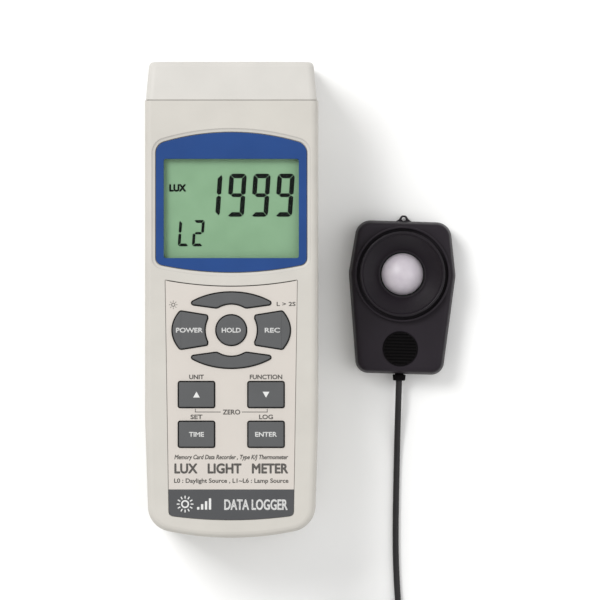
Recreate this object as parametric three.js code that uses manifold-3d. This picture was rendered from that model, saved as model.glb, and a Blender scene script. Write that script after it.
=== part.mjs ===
// Hand-held data-logging light meter with its separate light sensor.
// Millimetres, +Z up. The meter lies on its back with the display facing up (+Z) and its top end
// towards +Y. The origin is the middle of the back face. The sensor lies to the right of the meter,
// and its cord runs towards -Y into a small tied coil with the plug beside it.
import * as THREE from 'three';
import { mergeVertices } from 'three/addons/utils/BufferGeometryUtils.js';
import Module from 'manifold-3d';

const wasm = await Module();
wasm.setup();

// ---------------------------------------------------------------- driving dimensions

const GAP = 0.3;             // clearance between neighbouring pieces
const SEAT = 0.15;           // clearance between a piece and the flat face that it seats on
const WALL = 2.2;            // wall thickness of the meter's shells

const METER = {
  top: 91,                   // Y of the top end
  bottom: -91,               // Y of the bottom end
  capLine: 76.5,             // Y of the joint between the cap and the case
  depth: 47.5,               // back face to front face
  halfWidth: 33.25,
  footHalfWidth: 32.2,       // where the tapering sides meet the bottom corners
  taperStart: -45,           // Y where the sides begin to draw in
  cornerRadius: 10,
  bottomRadius: 118,         // bulge of the bottom edge
  split: 30,                 // Z of the joint between the front and rear shells
};

const BEZEL = { halfWidth: 29.05, top: 64.3, topRadius: 92, topCorner: 4.6,
  bottom: 10.4, bottomRadius: 131, bottomCorner: 3, floor: 46, face: 46.9, chamfer: 1.3 };

const DISPLAY = { y: 35, halfWidth: 25.75, halfHeight: 18.9, paneHalfWidth: 28, paneHalfHeight: 21.3 };

const PAD = {                // printed overlay around the keys, and the recess that it lies in
  topHalfWidth: 25.3, topMiddle: 5.5, bottomHalfWidth: 23.9, bottomMiddle: -83.9,
  bottomRadius: 169, floor: 46.8, face: 47.35,
};

const KEY = { top: 48.3, flangeTop: 45, flangeBottom: 43, flangeGrow: 0.8 };
const RING = { y: -11.4, halfWidth: 22.8, halfHeight: 14.8, innerRadius: 9.75, holdRadius: 6.1,
  crescentEdge: 7.38, crescentSlope: 0.138, sideEdge: 4.5, sideSlope: 0.16 };
const SQUARE_KEY = { halfWidth: 7.15, halfHeight: 5.2, corner: 0.9, x: 13.25,
  upperY: -35.96, lowerY: -51.1 };

const BOARD = { bottom: 37.4, top: 39 };
const MAT = { bottom: 39.2, face: 40.5, padTop: 41.7 };

const BAY = { halfX: 27, y0: -74.3, y1: -28.7, ceiling: 31.6, wall: 2.4 };
const CELL = { radius: 7.1, halfLength: 24.4, nubRadius: 2.7, nubLength: 1.2,
  rows: [-66.5, -51.5, -36.5], layers: [9.6, 24.1] };
const COVER = { halfX: 28.1, y0: -75.6, y1: -27.4, outer: 0.4, inner: 1.9,
  tongueHalfX: 6, tongueY: -17.8, tongueInner: 3.1, screwY: -22 };

const CASE_SCREWS = [[-27, 68], [27, 68], [-25.5, -81.5], [25.5, -81.5]];
const SCREW = { headRadius: 2.3, headBottom: 0.9, headTop: 2.7, shaftRadius: 1.25, bossRadius: 3.1 };

const STAND = { halfX: 15, hingeY: 70.6, hingeZ: 1.9, tipY: 22, outer: 0.7, inner: 3.1,
  windowHalfX: 8.5, windowY0: 38, windowY1: 58, pinRadius: 0.75, pinReach: 1.7, recessFloor: 3.4 };
const TRIPOD = { y: 48, radius: 4.5, boreRadius: 2.55, face: 3.5, top: 12.5, boreTop: 11 };

const JACKS = { floor: 30.9, y0: 22, y1: 52, z0: 11.8, z1: 26.3, z: 18.6,
  dataY: 28.5, resetY: 36.5, powerY: 45 };
const FLAP = { inner: 31.2, outer: 32.7, hingeZ: 25.2, bottom: 12.1, pinRadius: 0.5, pinReach: 1 };

const CARD = { halfX: 12, z0: 34.3, z1: 36.4, y0: -90.3, y1: -58.3 };
const SOCKETS = { z: 24, probeX: -14, probeRadius: 6.6, thermoX: 13, thermoHalfX: 8.2, thermoHalfZ: 3.7,
  face: 90.6, back: 80 };

const SENSOR = { x: 65.8, y: 10.1, turn: -1.7, split: 5, top: 12.5, floor: 11.8, wallTop: 14.6,
  wallOuter: 18.45, wallInner: 17.7, holeRadius: 15.5, wall: 1.9 };
// Corners of the sensor's outline as [x, y, corner radius], counter-clockwise.
const SENSOR_CORNERS = [[17.9, 20.5, 6], [-17.9, 20.5, 6], [-20.7, 0, 2],
  [-16.7, -38.6, 5], [16.7, -38.6, 5], [20.7, 0, 2]];
const CUP = { neckRadius: 15.2, rimRadius: 16.5, seat: 12.1, rimTop: 16, bottom: 6.6,
  lipRadius: 8.4, lipZ: 10.8, dishRadius: 12, dishZ: 12.9 };
const DOME = { baseRadius: 8.1, radius: 7.8, bottom: 6.9, shoulder: 10.4, top: 17 };
const GRIP = { y: -28.9, radius: 6.5, bottom: 12, top: 13.1 };
const SENSOR_SCREWS = [[-11.5, -31], [11.5, -31]];

const CORD = { radius: 1.2, sides: 8 };
const COIL = { x: 48.4, y: -139.5, innerRadius: 9.9, outerRadius: 17.8, z0: 0.8, z1: 10.9 };
const PLUG = { y: COIL.y - 16.3, z: 5.6, bootX: 27, gripX: 16, shellX: -8, endX: -17,
  gripRadius: 5.5, sleeveOuter: 5.55, sleeveInner: 5.05 };

// ---------------------------------------------------------------- materials

function finish(color, roughness, metalness = 0) {
  return new THREE.MeshStandardMaterial({ color, roughness, metalness });
}

const MATERIAL = {
  beige: finish(0xd7d3cb, 0.55),
  capBeige: finish(0xdbd8d2, 0.55),
  blue: finish(0x33508a, 0.45),
  overlay: finish(0xdcd5cd, 0.5),
  keyGrey: finish(0x636465, 0.6),
  darkGrey: finish(0x3c3d3f, 0.6),
  black: finish(0x332d31, 0.5),
  rubber: finish(0x151315, 0.8),
  clear: finish(0xdfe8e6, 0.05),
  lcd: finish(0x8cb28d, 0.2),
  white: finish(0xe8e8e2, 0.5),
  dome: finish(0xcfc8d2, 0.35),
  board: finish(0x1f5a3a, 0.5),
  silicone: finish(0x8a8c8e, 0.7),
  cell: finish(0xa8792e, 0.35, 0.6),
  steel: finish(0xb9bcc0, 0.3, 1),
  brass: finish(0xb5923e, 0.3, 1),
  cord: finish(0x2a282a, 0.6),
};

// ---------------------------------------------------------------- solids

// Turns a closed geometry into a solid that can be cut and joined.
function solidOf(geometry) {
  const bare = geometry.clone();
  bare.deleteAttribute('normal');
  bare.deleteAttribute('uv');
  const merged = mergeVertices(bare, 1e-4);
  return new wasm.Manifold(new wasm.Mesh({
    numProp: 3,
    vertProperties: new Float32Array(merged.attributes.position.array),
    triVerts: new Uint32Array(merged.index.array),
  }));
}

function geometryOf(solid) {
  const mesh = solid.getMesh();
  const geometry = new THREE.BufferGeometry();
  geometry.setAttribute('position', new THREE.BufferAttribute(new Float32Array(mesh.vertProperties), 3));
  geometry.setIndex(new THREE.BufferAttribute(new Uint32Array(mesh.triVerts), 1));
  geometry.computeVertexNormals();
  return geometry;
}

function join(...geometries) {
  return geometryOf(geometries.map(solidOf).reduce((whole, piece) => whole.add(piece)));
}

function cut(geometry, ...tools) {
  return geometryOf(tools.map(solidOf).reduce((whole, tool) => whole.subtract(tool), solidOf(geometry)));
}

function overlapOf(a, b) {
  return geometryOf(solidOf(a).intersect(solidOf(b)));
}

function box(x0, x1, y0, y1, z0, z1) {
  const geometry = new THREE.BoxGeometry(x1 - x0, y1 - y0, z1 - z0);
  return geometry.translate((x0 + x1) / 2, (y0 + y1) / 2, (z0 + z1) / 2);
}

// Solid of revolution about Z. The profile is [radius, z] pairs, counter-clockwise around the material,
// that start and end on the axis or close on themselves.
function turned(profile, segments = 24) {
  const points = profile.map(([radius, z]) => new THREE.Vector2(radius, z));
  return new THREE.LatheGeometry(points, segments).rotateX(Math.PI / 2);
}

// Upright rod between two heights.
function rod(x, y, radius, z0, z1, segments = 16) {
  const geometry = new THREE.CylinderGeometry(radius, radius, z1 - z0, segments);
  return geometry.rotateX(Math.PI / 2).translate(x, y, (z0 + z1) / 2);
}

// Rod lying along X or along Y.
function rodX(x0, x1, y, z, radius, segments = 16) {
  const geometry = new THREE.CylinderGeometry(radius, radius, x1 - x0, segments);
  return geometry.rotateZ(Math.PI / 2).translate((x0 + x1) / 2, y, z);
}

function rodY(x, y0, y1, z, radius, segments = 16) {
  return new THREE.CylinderGeometry(radius, radius, y1 - y0, segments).translate(x, (y0 + y1) / 2, z);
}

// Solid through stacked outlines. Each ring is { z, points } and every ring has the same number of
// points, counter-clockwise seen from +Z; the rings run upwards.
function loft(rings) {
  const count = rings[0].points.length;
  const position = rings.flatMap(({ z, points }) => points.flatMap((p) => [p.x, p.y, z]));
  const index = [];
  for (let level = 0; level + 1 < rings.length; level++) {
    for (let i = 0; i < count; i++) {
      const a = level * count + i;
      const b = level * count + (i + 1) % count;
      index.push(a, b, b + count, a, b + count, a + count);
    }
  }
  const cap = (level, flip) => {
    for (const [a, b, c] of THREE.ShapeUtils.triangulateShape(rings[level].points, [])) {
      const base = level * count;
      index.push(base + a, base + (flip ? c : b), base + (flip ? b : c));
    }
  };
  cap(0, true);
  cap(rings.length - 1, false);
  const geometry = new THREE.BufferGeometry();
  geometry.setAttribute('position', new THREE.Float32BufferAttribute(position, 3));
  geometry.setIndex(index);
  return geometry;
}

function slab(points, z0, z1) {
  return loft([{ z: z0, points }, { z: z1, points }]);
}

// ---------------------------------------------------------------- outlines

function arc(cx, cy, radius, fromDegrees, toDegrees, steps) {
  const points = [];
  for (let i = 0; i <= steps; i++) {
    const angle = THREE.MathUtils.degToRad(fromDegrees + (toDegrees - fromDegrees) * i / steps);
    points.push(new THREE.Vector2(cx + radius * Math.cos(angle), cy + radius * Math.sin(angle)));
  }
  return points;
}

// Rounded polygon from [x, y, radius] corners, counter-clockwise, drawn in by `inset`.
function rounded(corners, inset = 0, stepDegrees = 18) {
  const at = (i) => corners[(i + corners.length) % corners.length];
  const direction = (from, to) => new THREE.Vector2(to[0] - from[0], to[1] - from[1]).normalize();
  return corners.flatMap(([x, y, radius], i) => {
    const before = direction(at(i - 1), at(i));
    const after = direction(at(i), at(i + 1));
    const turn = Math.atan2(before.cross(after), before.dot(after));
    const inward = after.clone().sub(before).normalize();
    const kept = Math.max(radius - inset, 0.15);
    const centre = new THREE.Vector2(x, y).addScaledVector(inward, (kept + inset) / Math.cos(turn / 2));
    const start = THREE.MathUtils.radToDeg(Math.atan2(-before.x, before.y));
    const sweep = THREE.MathUtils.radToDeg(turn);
    return arc(centre.x, centre.y, kept, start, start + sweep, Math.max(1, Math.round(sweep / stepDegrees)));
  });
}

function rectangle(halfX, halfY, radius, x = 0, y = 0) {
  return rounded([[x + halfX, y + halfY, radius], [x - halfX, y + halfY, radius],
    [x - halfX, y - halfY, radius], [x + halfX, y - halfY, radius]], 0, 30);
}

// Outline of the case below the cap: straight sides that taper to round corners and a bulging
// bottom edge. It is drawn in by `inset` everywhere but along its flat top.
function caseOutline(inset, top = METER.capLine - GAP) {
  const side = METER.halfWidth - inset;
  const cornerX = METER.footHalfWidth - METER.cornerRadius;
  const bulgeY = METER.bottom + METER.bottomRadius;
  const reach = METER.bottomRadius - METER.cornerRadius;
  const cornerY = bulgeY - Math.sqrt(reach ** 2 - cornerX ** 2);
  const lean = THREE.MathUtils.radToDeg(Math.asin(cornerX / reach));
  const corner = METER.cornerRadius - inset;
  return [
    new THREE.Vector2(side, top), new THREE.Vector2(-side, top), new THREE.Vector2(-side, METER.taperStart),
    ...arc(-cornerX, cornerY, corner, 180, 270 - lean, 7),
    ...arc(0, bulgeY, METER.bottomRadius - inset, 270 - lean, 270 + lean, 6).slice(1, -1),
    ...arc(cornerX, cornerY, corner, 270 + lean, 360, 7),
    new THREE.Vector2(side, METER.taperStart),
  ];
}

// Outline of the display bezel: straight sides and two bulging ends with round corners.
function bezelOutline(inset) {
  const side = BEZEL.halfWidth;
  const end = (middle, radius, corner, sign) => {
    const cornerX = side - corner;
    const centreY = middle - sign * radius;
    const cornerY = centreY + sign * Math.sqrt((radius - corner) ** 2 - cornerX ** 2);
    const lean = THREE.MathUtils.radToDeg(Math.asin(cornerX / (radius - corner)));
    const pole = 90 * sign;
    return [
      ...arc(sign * cornerX, cornerY, corner - inset, pole - 90, pole - lean, 4),
      ...arc(0, centreY, radius - inset, pole - lean, pole + lean, 8).slice(1, -1),
      ...arc(-sign * cornerX, cornerY, corner - inset, pole + lean, pole + 90, 4),
    ];
  };
  return [...end(BEZEL.top, BEZEL.topRadius, BEZEL.topCorner, 1),
    ...end(BEZEL.bottom, BEZEL.bottomRadius, BEZEL.bottomCorner, -1)];
}

// Outline of the keypad overlay: a hollow top edge that follows the bezel, and a bulging bottom.
function padOutline(inset) {
  const hollowRadius = BEZEL.bottomRadius + BEZEL.bottom - PAD.topMiddle;
  const hollowY = BEZEL.bottom + BEZEL.bottomRadius;
  const bulgeY = PAD.bottomMiddle + PAD.bottomRadius;
  const topX = PAD.topHalfWidth - inset;
  const bottomX = PAD.bottomHalfWidth - inset;
  const topLean = THREE.MathUtils.radToDeg(Math.asin(topX / hollowRadius));
  const bottomLean = THREE.MathUtils.radToDeg(Math.asin(bottomX / PAD.bottomRadius));
  return [
    ...arc(0, hollowY, hollowRadius + inset, 270 + topLean, 270 - topLean, 8),
    ...arc(0, bulgeY, PAD.bottomRadius - inset, 270 - bottomLean, 270 + bottomLean, 6),
  ];
}

// ---------------------------------------------------------------- keys

function ellipse(grow) {
  const steps = 44;
  return Array.from({ length: steps }, (_, i) => new THREE.Vector2(
    (RING.halfWidth + grow) * Math.cos(i / steps * 2 * Math.PI),
    RING.y + (RING.halfHeight + grow) * Math.sin(i / steps * 2 * Math.PI)));
}

function circle(radius, x, y, steps = 24) {
  return arc(x, y, radius, 0, 360 - 360 / steps, steps - 1);
}

// Band between two straight-edged wedges that open outwards from the middle of the ring.
function bowTie(edge, slope, grow) {
  const far = 40;
  const near = edge + grow * Math.hypot(1, slope);
  const wide = near + slope * far;
  return [[far, wide], [0, near], [-far, wide], [-far, -wide], [0, -near], [far, -wide]]
    .map(([x, y]) => new THREE.Vector2(x, RING.y + y));
}

// Half of the key ring on one side of the middle: 'up', 'down', 'left' or 'right'.
function ringKey(side, grow, z0, z1) {
  const far = 40;
  const whole = slab(ellipse(grow), z0, z1);
  const hub = slab(circle(RING.innerRadius - grow, 0, RING.y, 32), z0 - 1, z1 + 1);
  if (side === 'up' || side === 'down') {
    const kept = side === 'up' ? box(-far, far, RING.y, far, z0 - 1, z1 + 1)
      : box(-far, far, -far - 20, RING.y, z0 - 1, z1 + 1);
    const band = slab(bowTie(RING.crescentEdge, RING.crescentSlope, -grow), z0 - 1, z1 + 1);
    return cut(overlapOf(whole, kept), band, hub);
  }
  const kept = side === 'right' ? box(0, far, -far, far, z0 - 1, z1 + 1)
    : box(-far, 0, -far, far, z0 - 1, z1 + 1);
  const band = slab(bowTie(RING.sideEdge, RING.sideSlope, grow), z0 - 1, z1 + 1);
  return cut(overlapOf(overlapOf(whole, band), kept), hub);
}

function squareKey(x, y, grow, z0, z1) {
  const { halfWidth, halfHeight, corner } = SQUARE_KEY;
  return slab(rectangle(halfWidth + grow, halfHeight + grow, corner + grow, x, y), z0, z1);
}

// Every key as a function of how far its outline is grown and of its two heights, with the middle of
// the pad below it.
const KEYS = {
  key_hold: {
    shape: (grow, z0, z1) => slab(circle(RING.holdRadius + grow, 0, RING.y), z0, z1),
    at: [0, RING.y],
  },
  key_power: { shape: (grow, z0, z1) => ringKey('left', grow, z0, z1), at: [-16.2, RING.y] },
  key_rec: { shape: (grow, z0, z1) => ringKey('right', grow, z0, z1), at: [16.2, RING.y] },
  key_crescent_upper: { shape: (grow, z0, z1) => ringKey('up', grow, z0, z1), at: [0, RING.y + 12.3] },
  key_crescent_lower: { shape: (grow, z0, z1) => ringKey('down', grow, z0, z1), at: [0, RING.y - 12.3] },
};
for (const [name, sign, y] of [['key_unit', -1, SQUARE_KEY.upperY], ['key_function', 1, SQUARE_KEY.upperY],
  ['key_time', -1, SQUARE_KEY.lowerY], ['key_enter', 1, SQUARE_KEY.lowerY]]) {
  const x = sign * SQUARE_KEY.x;
  KEYS[name] = { shape: (grow, z0, z1) => squareKey(x, y, grow, z0, z1), at: [x, y] };
}

function key({ shape }) {
  const stem = shape(0, KEY.flangeTop - 0.5, KEY.top);
  return join(stem, shape(KEY.flangeGrow, KEY.flangeBottom, KEY.flangeTop));
}

// Silicone sheet with a raised pad below every key.
function keypadMat() {
  const pads = Object.values(KEYS).map(({ at: [x, y] }) => rod(x, y, 2, MAT.face - 0.5, MAT.padTop, 12));
  return join(box(-26, 26, -58, 7, MAT.bottom, MAT.face), ...pads);
}

// ---------------------------------------------------------------- meter casing

// Soft-edged outer shape of one shell, from [z, inset] pairs.
function shellBody(levels) {
  return loft(levels.map(([z, inset]) => ({ z, points: caseOutline(inset) })));
}

function frontCase() {
  const inner = METER.capLine - GAP - WALL;
  const ceiling = METER.depth - WALL;
  const bottom = METER.split + SEAT;
  const outer = shellBody([[bottom, 0], [44, 0.35], [45.9, 0.75], [47, 1.5], [METER.depth, 2.6]]);
  const cavity = slab(caseOutline(WALL + 0.35, inner), METER.split - 1, ceiling);
  const bezelPocket = loft([
    { z: BEZEL.floor, points: bezelOutline(0) },
    { z: BEZEL.floor + 0.6, points: bezelOutline(0) },
    { z: METER.depth + 0.1, points: bezelOutline(-BEZEL.chamfer) },
  ]);
  const window = box(-27, 27, DISPLAY.y - 20.2, DISPLAY.y + 20.2, ceiling - 1, METER.depth);
  const padPocket = slab(padOutline(0), PAD.floor, METER.depth + 1);
  const keyHoles = Object.values(KEYS).map(({ shape }) => shape(GAP, ceiling - 1, METER.depth));
  const slotX = CARD.halfX + GAP;
  const cardSlot = box(-slotX, slotX, METER.bottom - 2, -84, CARD.z0 - GAP, CARD.z1 + GAP);
  const shell = cut(outer, cavity, bezelPocket, window, padPocket, ...keyHoles, cardSlot);
  const bosses = CASE_SCREWS.map(([x, y]) => rod(x, y, SCREW.bossRadius, bottom, ceiling + 0.4));
  const bores = CASE_SCREWS.map(([x, y]) => rod(x, y, SCREW.shaftRadius + GAP, METER.split - 1, 40, 12));
  return cut(join(shell, ...bosses), ...bores);
}

function rearCase() {
  const top = METER.split - SEAT;
  const inner = METER.capLine - GAP - WALL;
  const floor = 2.4;
  const outer = shellBody([[0, 2.6], [0.6, 1.5], [2, 0.9], [6, 0.5], [top, 0]]);
  const hollow = cut(outer, slab(caseOutline(WALL + 0.5, inner), floor, top + 1));
  const bayX = BAY.halfX + BAY.wall;
  const bayWall = box(-bayX, bayX, BAY.y0 - 2.7, BAY.y1 + 2.7, 1, BAY.ceiling + 1.2);
  const tongueBlock = box(-8.3, 8.3, BAY.y1, -15.5, 1, 5.4);
  const coverBoss = rod(0, COVER.screwY, SCREW.bossRadius, 2, 13);
  const standBlock = box(-17.6, 17.6, 19.5, inner + 0.5, 1, 5.6);
  const tripodBoss = rod(0, TRIPOD.y, 6.8, 3, TRIPOD.top + 1.8);
  const jackBlock = box(28.2, 32, JACKS.y0 - 2, JACKS.y1 + 2, 9.6, 28.4);
  const tubes = CASE_SCREWS.map(([x, y]) => rod(x, y, SCREW.bossRadius, 1, top));
  const body = join(hollow, bayWall, tongueBlock, coverBoss, standBlock, tripodBoss, jackBlock, ...tubes);
  return cut(body, ...bayCuts(), ...standCuts(), ...jackCuts(), ...caseScrewCuts(top));
}

function bayCuts() {
  return [
    box(-BAY.halfX, BAY.halfX, BAY.y0, BAY.y1, -1, BAY.ceiling),
    box(-COVER.halfX - GAP, COVER.halfX + GAP, COVER.y0 - GAP, COVER.y1 + GAP, -1, COVER.inner + 0.2),
    box(-COVER.tongueHalfX - GAP, COVER.tongueHalfX + GAP, COVER.y1 - 1, COVER.tongueY + GAP, -1,
      COVER.tongueInner + GAP),
    rod(0, COVER.screwY, SCREW.shaftRadius + GAP, 1, 14, 12),
  ];
}

function standCuts() {
  const { halfX, hingeY, hingeZ, tipY, recessFloor, pinRadius, pinReach } = STAND;
  const holeReach = pinReach + GAP;
  const notches = [-1, 1].map((side) => box(side * 16.6 - 2, side * 16.6 + 2, 29, 41, -1, 1.6));
  const pinHole = rodX(-halfX - holeReach, halfX + holeReach, hingeY, hingeZ, pinRadius + GAP, 12);
  return [
    box(-halfX - GAP, halfX + GAP, tipY - GAP, hingeY + 2.4, -1, recessFloor), ...notches, pinHole,
    rod(0, TRIPOD.y, TRIPOD.radius + GAP, recessFloor - 0.5, TRIPOD.top + GAP, 20),
  ];
}

function jackCuts() {
  const { floor, y0, y1, z0, z1, z, dataY, resetY, powerY } = JACKS;
  const axisX = (FLAP.inner + FLAP.outer) / 2;
  return [
    box(floor, METER.halfWidth + 2, y0, y1, z0, z1),
    rodX(27, floor + 1, dataY, z, 3.7),
    rodX(27, floor + 1, resetY, z, 1.7, 12),
    rodX(27, floor + 1, powerY, z, 4.4),
    rodY(axisX, y0 - FLAP.pinReach - 0.4, y0 + 0.5, FLAP.hingeZ, FLAP.pinRadius + GAP, 10),
    rodY(axisX, y1 - 0.5, y1 + FLAP.pinReach + 0.4, FLAP.hingeZ, FLAP.pinRadius + GAP, 10),
  ];
}

function caseScrewCuts(top) {
  return CASE_SCREWS.flatMap(([x, y]) => [
    rod(x, y, SCREW.headRadius + GAP, -1, SCREW.headTop + GAP),
    rod(x, y, SCREW.shaftRadius + GAP, 1, top + 1, 12),
  ]);
}

// Cap over the top end, a little narrower than the case, hollow towards the case.
function topCap() {
  // Half-width and the Z of the back and front faces at each Y.
  const levels = [[METER.top, 29.6, 3.2, 43.8], [90.7, 30.6, 2.2, 44.8], [90, 31.2, 1.4, 45.5],
    [89, 31.5, 1, 46], [METER.capLine, 32.4, 0.3, 47.2]];
  const corner = 3;
  const outer = loft(levels.map(([y, half, back, front]) => ({ z: -y,
    points: rectangle(half, (front - back) / 2, corner, 0, (front + back) / 2) }))).rotateX(Math.PI / 2);
  const cavity = box(-29.6, 29.6, METER.capLine - 1, METER.top - WALL, 2.8, 44);
  const { probeX, probeRadius, thermoX, thermoHalfX, thermoHalfZ, z } = SOCKETS;
  const wide = thermoHalfX + GAP;
  const tall = thermoHalfZ + GAP;
  return cut(outer, cavity, rodY(probeX, 85, 95, z, probeRadius + GAP, 24),
    box(thermoX - wide, thermoX + wide, 85, 95, z - tall, z + tall));
}

function displayBezel() {
  const plate = slab(bezelOutline(GAP), BEZEL.floor + SEAT, BEZEL.face);
  const opening = rectangle(DISPLAY.halfWidth, DISPLAY.halfHeight, 0.5, 0, DISPLAY.y);
  return cut(plate, slab(opening, BEZEL.floor - 1, METER.depth));
}

function keypadOverlay() {
  const holes = Object.values(KEYS).map(({ shape }) => shape(GAP, PAD.floor - 1, METER.depth + 1));
  return cut(slab(padOutline(GAP), PAD.floor + SEAT, PAD.face), ...holes);
}

// ---------------------------------------------------------------- inside the meter

function displayPane(grow, z0, z1) {
  const halfX = DISPLAY.paneHalfWidth + grow;
  const halfY = DISPLAY.paneHalfHeight + grow;
  return box(-halfX, halfX, DISPLAY.y - halfY, DISPLAY.y + halfY, z0, z1);
}

// Main board with its processor below it and a small upright board that carries the side jacks.
function mainBoard() {
  const { bottom, top } = BOARD;
  return join(box(-28.5, 28.5, -75.5, 62, bottom, top), box(-18, 18, -84, -70, bottom, top),
    box(-18, -5, 24, 37, bottom - 1.6, bottom + 0.5), box(14.5, 16, JACKS.y0, JACKS.y1, 10, bottom + 0.5));
}

function cardSocket() {
  const side = CARD.halfX + GAP;
  return cut(box(-side - 1.4, side + 1.4, -84, CARD.y1 + 2, CARD.z0 - 0.65, CARD.z1 + 0.65),
    box(-side, side, -86, CARD.y1 + GAP, CARD.z0 - GAP, CARD.z1 + GAP));
}

// One AA cell lying along X; `sign` says which end has the positive nub.
function cell(y, z, sign) {
  const { radius, halfLength, nubRadius, nubLength } = CELL;
  const profile = [[0, -halfLength], [radius - 0.4, -halfLength], [radius, -halfLength + 0.4],
    [radius, halfLength - 0.6], [radius - 0.6, halfLength], [nubRadius, halfLength],
    [nubRadius, halfLength + nubLength], [0, halfLength + nubLength]];
  return turned(profile, 14).translate(0, 0, -nubLength / 2).rotateY(sign * Math.PI / 2).translate(0, y, z);
}

// Plate with a low spring cone in front of every cell.
function batteryContacts(side) {
  const plate = [26.2, 26.6].map((x) => side * x).sort((a, b) => a - b);
  const cones = CELL.rows.flatMap((y) => CELL.layers.map((z) => new THREE.CylinderGeometry(1.4, 3.4, 1, 8)
    .rotateZ(side * Math.PI / 2).translate(side * 25.85, y, z)));
  return join(box(plate[0], plate[1], -73.6, -29.4, 4, 30), ...cones);
}

function probeSocket() {
  const { probeX, probeRadius, z, face, back } = SOCKETS;
  const groove = turned([[4.9, -6], [5.7, -6], [5.7, 1], [4.9, 1], [4.9, -6]], 24).rotateX(-Math.PI / 2)
    .translate(probeX, face, z);
  const contacts = [0, 1, 2, 3, 4].map((i) => {
    const angle = (-135 + 67.5 * i) * Math.PI / 180;
    return rodY(probeX + 2.8 * Math.cos(angle), face - 5, face + 1, z + 2.8 * Math.sin(angle), 0.7, 8);
  });
  const body = join(rodY(probeX, back, face, z, probeRadius, 24), rodY(probeX, 85.5, 88.5, z, 8.4, 24));
  return cut(body, groove, ...contacts);
}

function thermocoupleSocket() {
  const { thermoX, thermoHalfX, thermoHalfZ, z, face, back } = SOCKETS;
  const left = thermoX - thermoHalfX;
  const right = thermoX + thermoHalfX;
  const body = join(box(left, right, back, face, z - thermoHalfZ, z + thermoHalfZ),
    box(left - 1.8, right + 1.8, 85.5, 88.5, z - 5.4, z + 5.4));
  return cut(body, box(thermoX - 5.7, thermoX - 2.3, face - 8, face + 1, z - 0.5, z + 0.5),
    box(thermoX + 2.7, thermoX + 5.3, face - 8, face + 1, z - 0.5, z + 0.5));
}

function dataJack() {
  const { floor, dataY, z } = JACKS;
  return cut(rodX(16.3, floor - 0.1, dataY, z, 3.4), rodX(20, floor + 1, dataY, z, 1.8, 12));
}

function powerJack() {
  const { floor, powerY, z } = JACKS;
  const barrel = cut(rodX(16.3, floor - 0.1, powerY, z, 4.1, 20), rodX(20, floor + 1, powerY, z, 2.75, 16));
  return join(barrel, rodX(19, floor - 1, powerY, z, 1, 8));
}

// Screw with its head between two heights and its tip a little above the end of its shaft.
function screw(x, y, head, shaft, headRadius = SCREW.headRadius, shaftRadius = SCREW.shaftRadius) {
  return turned([[0, head[0]], [headRadius, head[0]], [headRadius, head[1]], [shaftRadius, head[1]],
    [shaftRadius, shaft], [0, shaft + shaftRadius]], 12).translate(x, y, 0);
}

function tripodInsert() {
  const { radius, boreRadius, face, top, boreTop, y } = TRIPOD;
  return turned([[0, boreTop], [boreRadius, boreTop], [boreRadius, face], [radius, face],
    [radius, top], [0, top]]).translate(0, y, 0);
}

// ---------------------------------------------------------------- moving pieces of the meter

function tiltStand() {
  const { halfX, hingeY, hingeZ, tipY, outer, inner, pinRadius } = STAND;
  const leaf = box(-halfX, halfX, tipY, hingeY, outer, inner);
  const windowX = STAND.windowHalfX;
  const window = box(-windowX, windowX, STAND.windowY0, STAND.windowY1, outer - 1, inner + 1);
  const knuckle = rodX(-halfX, halfX, hingeY, hingeZ, (inner - outer) / 2, 16);
  const pinX = halfX + STAND.pinReach;
  const pin = rodX(-pinX, pinX, hingeY, hingeZ, pinRadius, 10);
  return join(cut(leaf, window), knuckle, pin);
}

function batteryCover() {
  const { halfX, y0, y1, outer, inner, tongueHalfX, tongueY, tongueInner, screwY } = COVER;
  const plate = join(box(-halfX, halfX, y0, y1, outer, inner),
    box(-tongueHalfX, tongueHalfX, y1 - 0.5, tongueY, outer, tongueInner));
  return cut(plate, rod(0, screwY, SCREW.headRadius + GAP, -1, 1.7),
    rod(0, screwY, SCREW.shaftRadius + GAP, 0, 4, 12));
}

// Flap over the side jacks, with a round hinge edge at its top and a finger lip at its bottom.
function jackCover() {
  const { inner, outer, hingeZ, bottom, pinRadius, pinReach } = FLAP;
  const y0 = JACKS.y0 + GAP;
  const y1 = JACKS.y1 - GAP;
  const axisX = (inner + outer) / 2;
  const plate = box(inner, outer, y0, y1, bottom, hingeZ);
  const knuckle = rodY(axisX, y0, y1, hingeZ, (outer - inner) / 2, 16);
  const pin = rodY(axisX, y0 - pinReach, y1 + pinReach, hingeZ, pinRadius, 10);
  const lip = box(outer - 0.5, outer + 0.3, y0 + 9, y1 - 9, bottom, bottom + 1.1);
  return join(plate, knuckle, pin, lip);
}

// Memory card with the cut corner that keeps it from going in the wrong way round.
function memoryCard() {
  const { halfX, z0, z1, y0, y1 } = CARD;
  const outline = [[halfX, y1], [4 - halfX, y1], [-halfX, y1 - 4], [-halfX, y0], [halfX, y0]]
    .map(([x, y]) => new THREE.Vector2(x, y));
  return slab(outline, z0, z1);
}

function resetButton() {
  const { floor, resetY, z } = JACKS;
  return join(rodX(25, floor - 0.1, resetY, z, 1.35, 12), rodX(24.5, 26, resetY, z, 2.3, 12));
}

// ---------------------------------------------------------------- light sensor

function sensorOutline(inset) {
  return rounded(SENSOR_CORNERS, inset);
}

function sensorShell(levels) {
  return loft(levels.map(([z, inset]) => ({ z, points: sensorOutline(inset) })));
}

const SENSOR_EDGE = -38.6;   // local Y of the sensor's bottom edge
const grommetHole = () => rodY(0, SENSOR_EDGE - 2, SENSOR_EDGE + 5, SENSOR.split, 2.05, 16);

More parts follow.
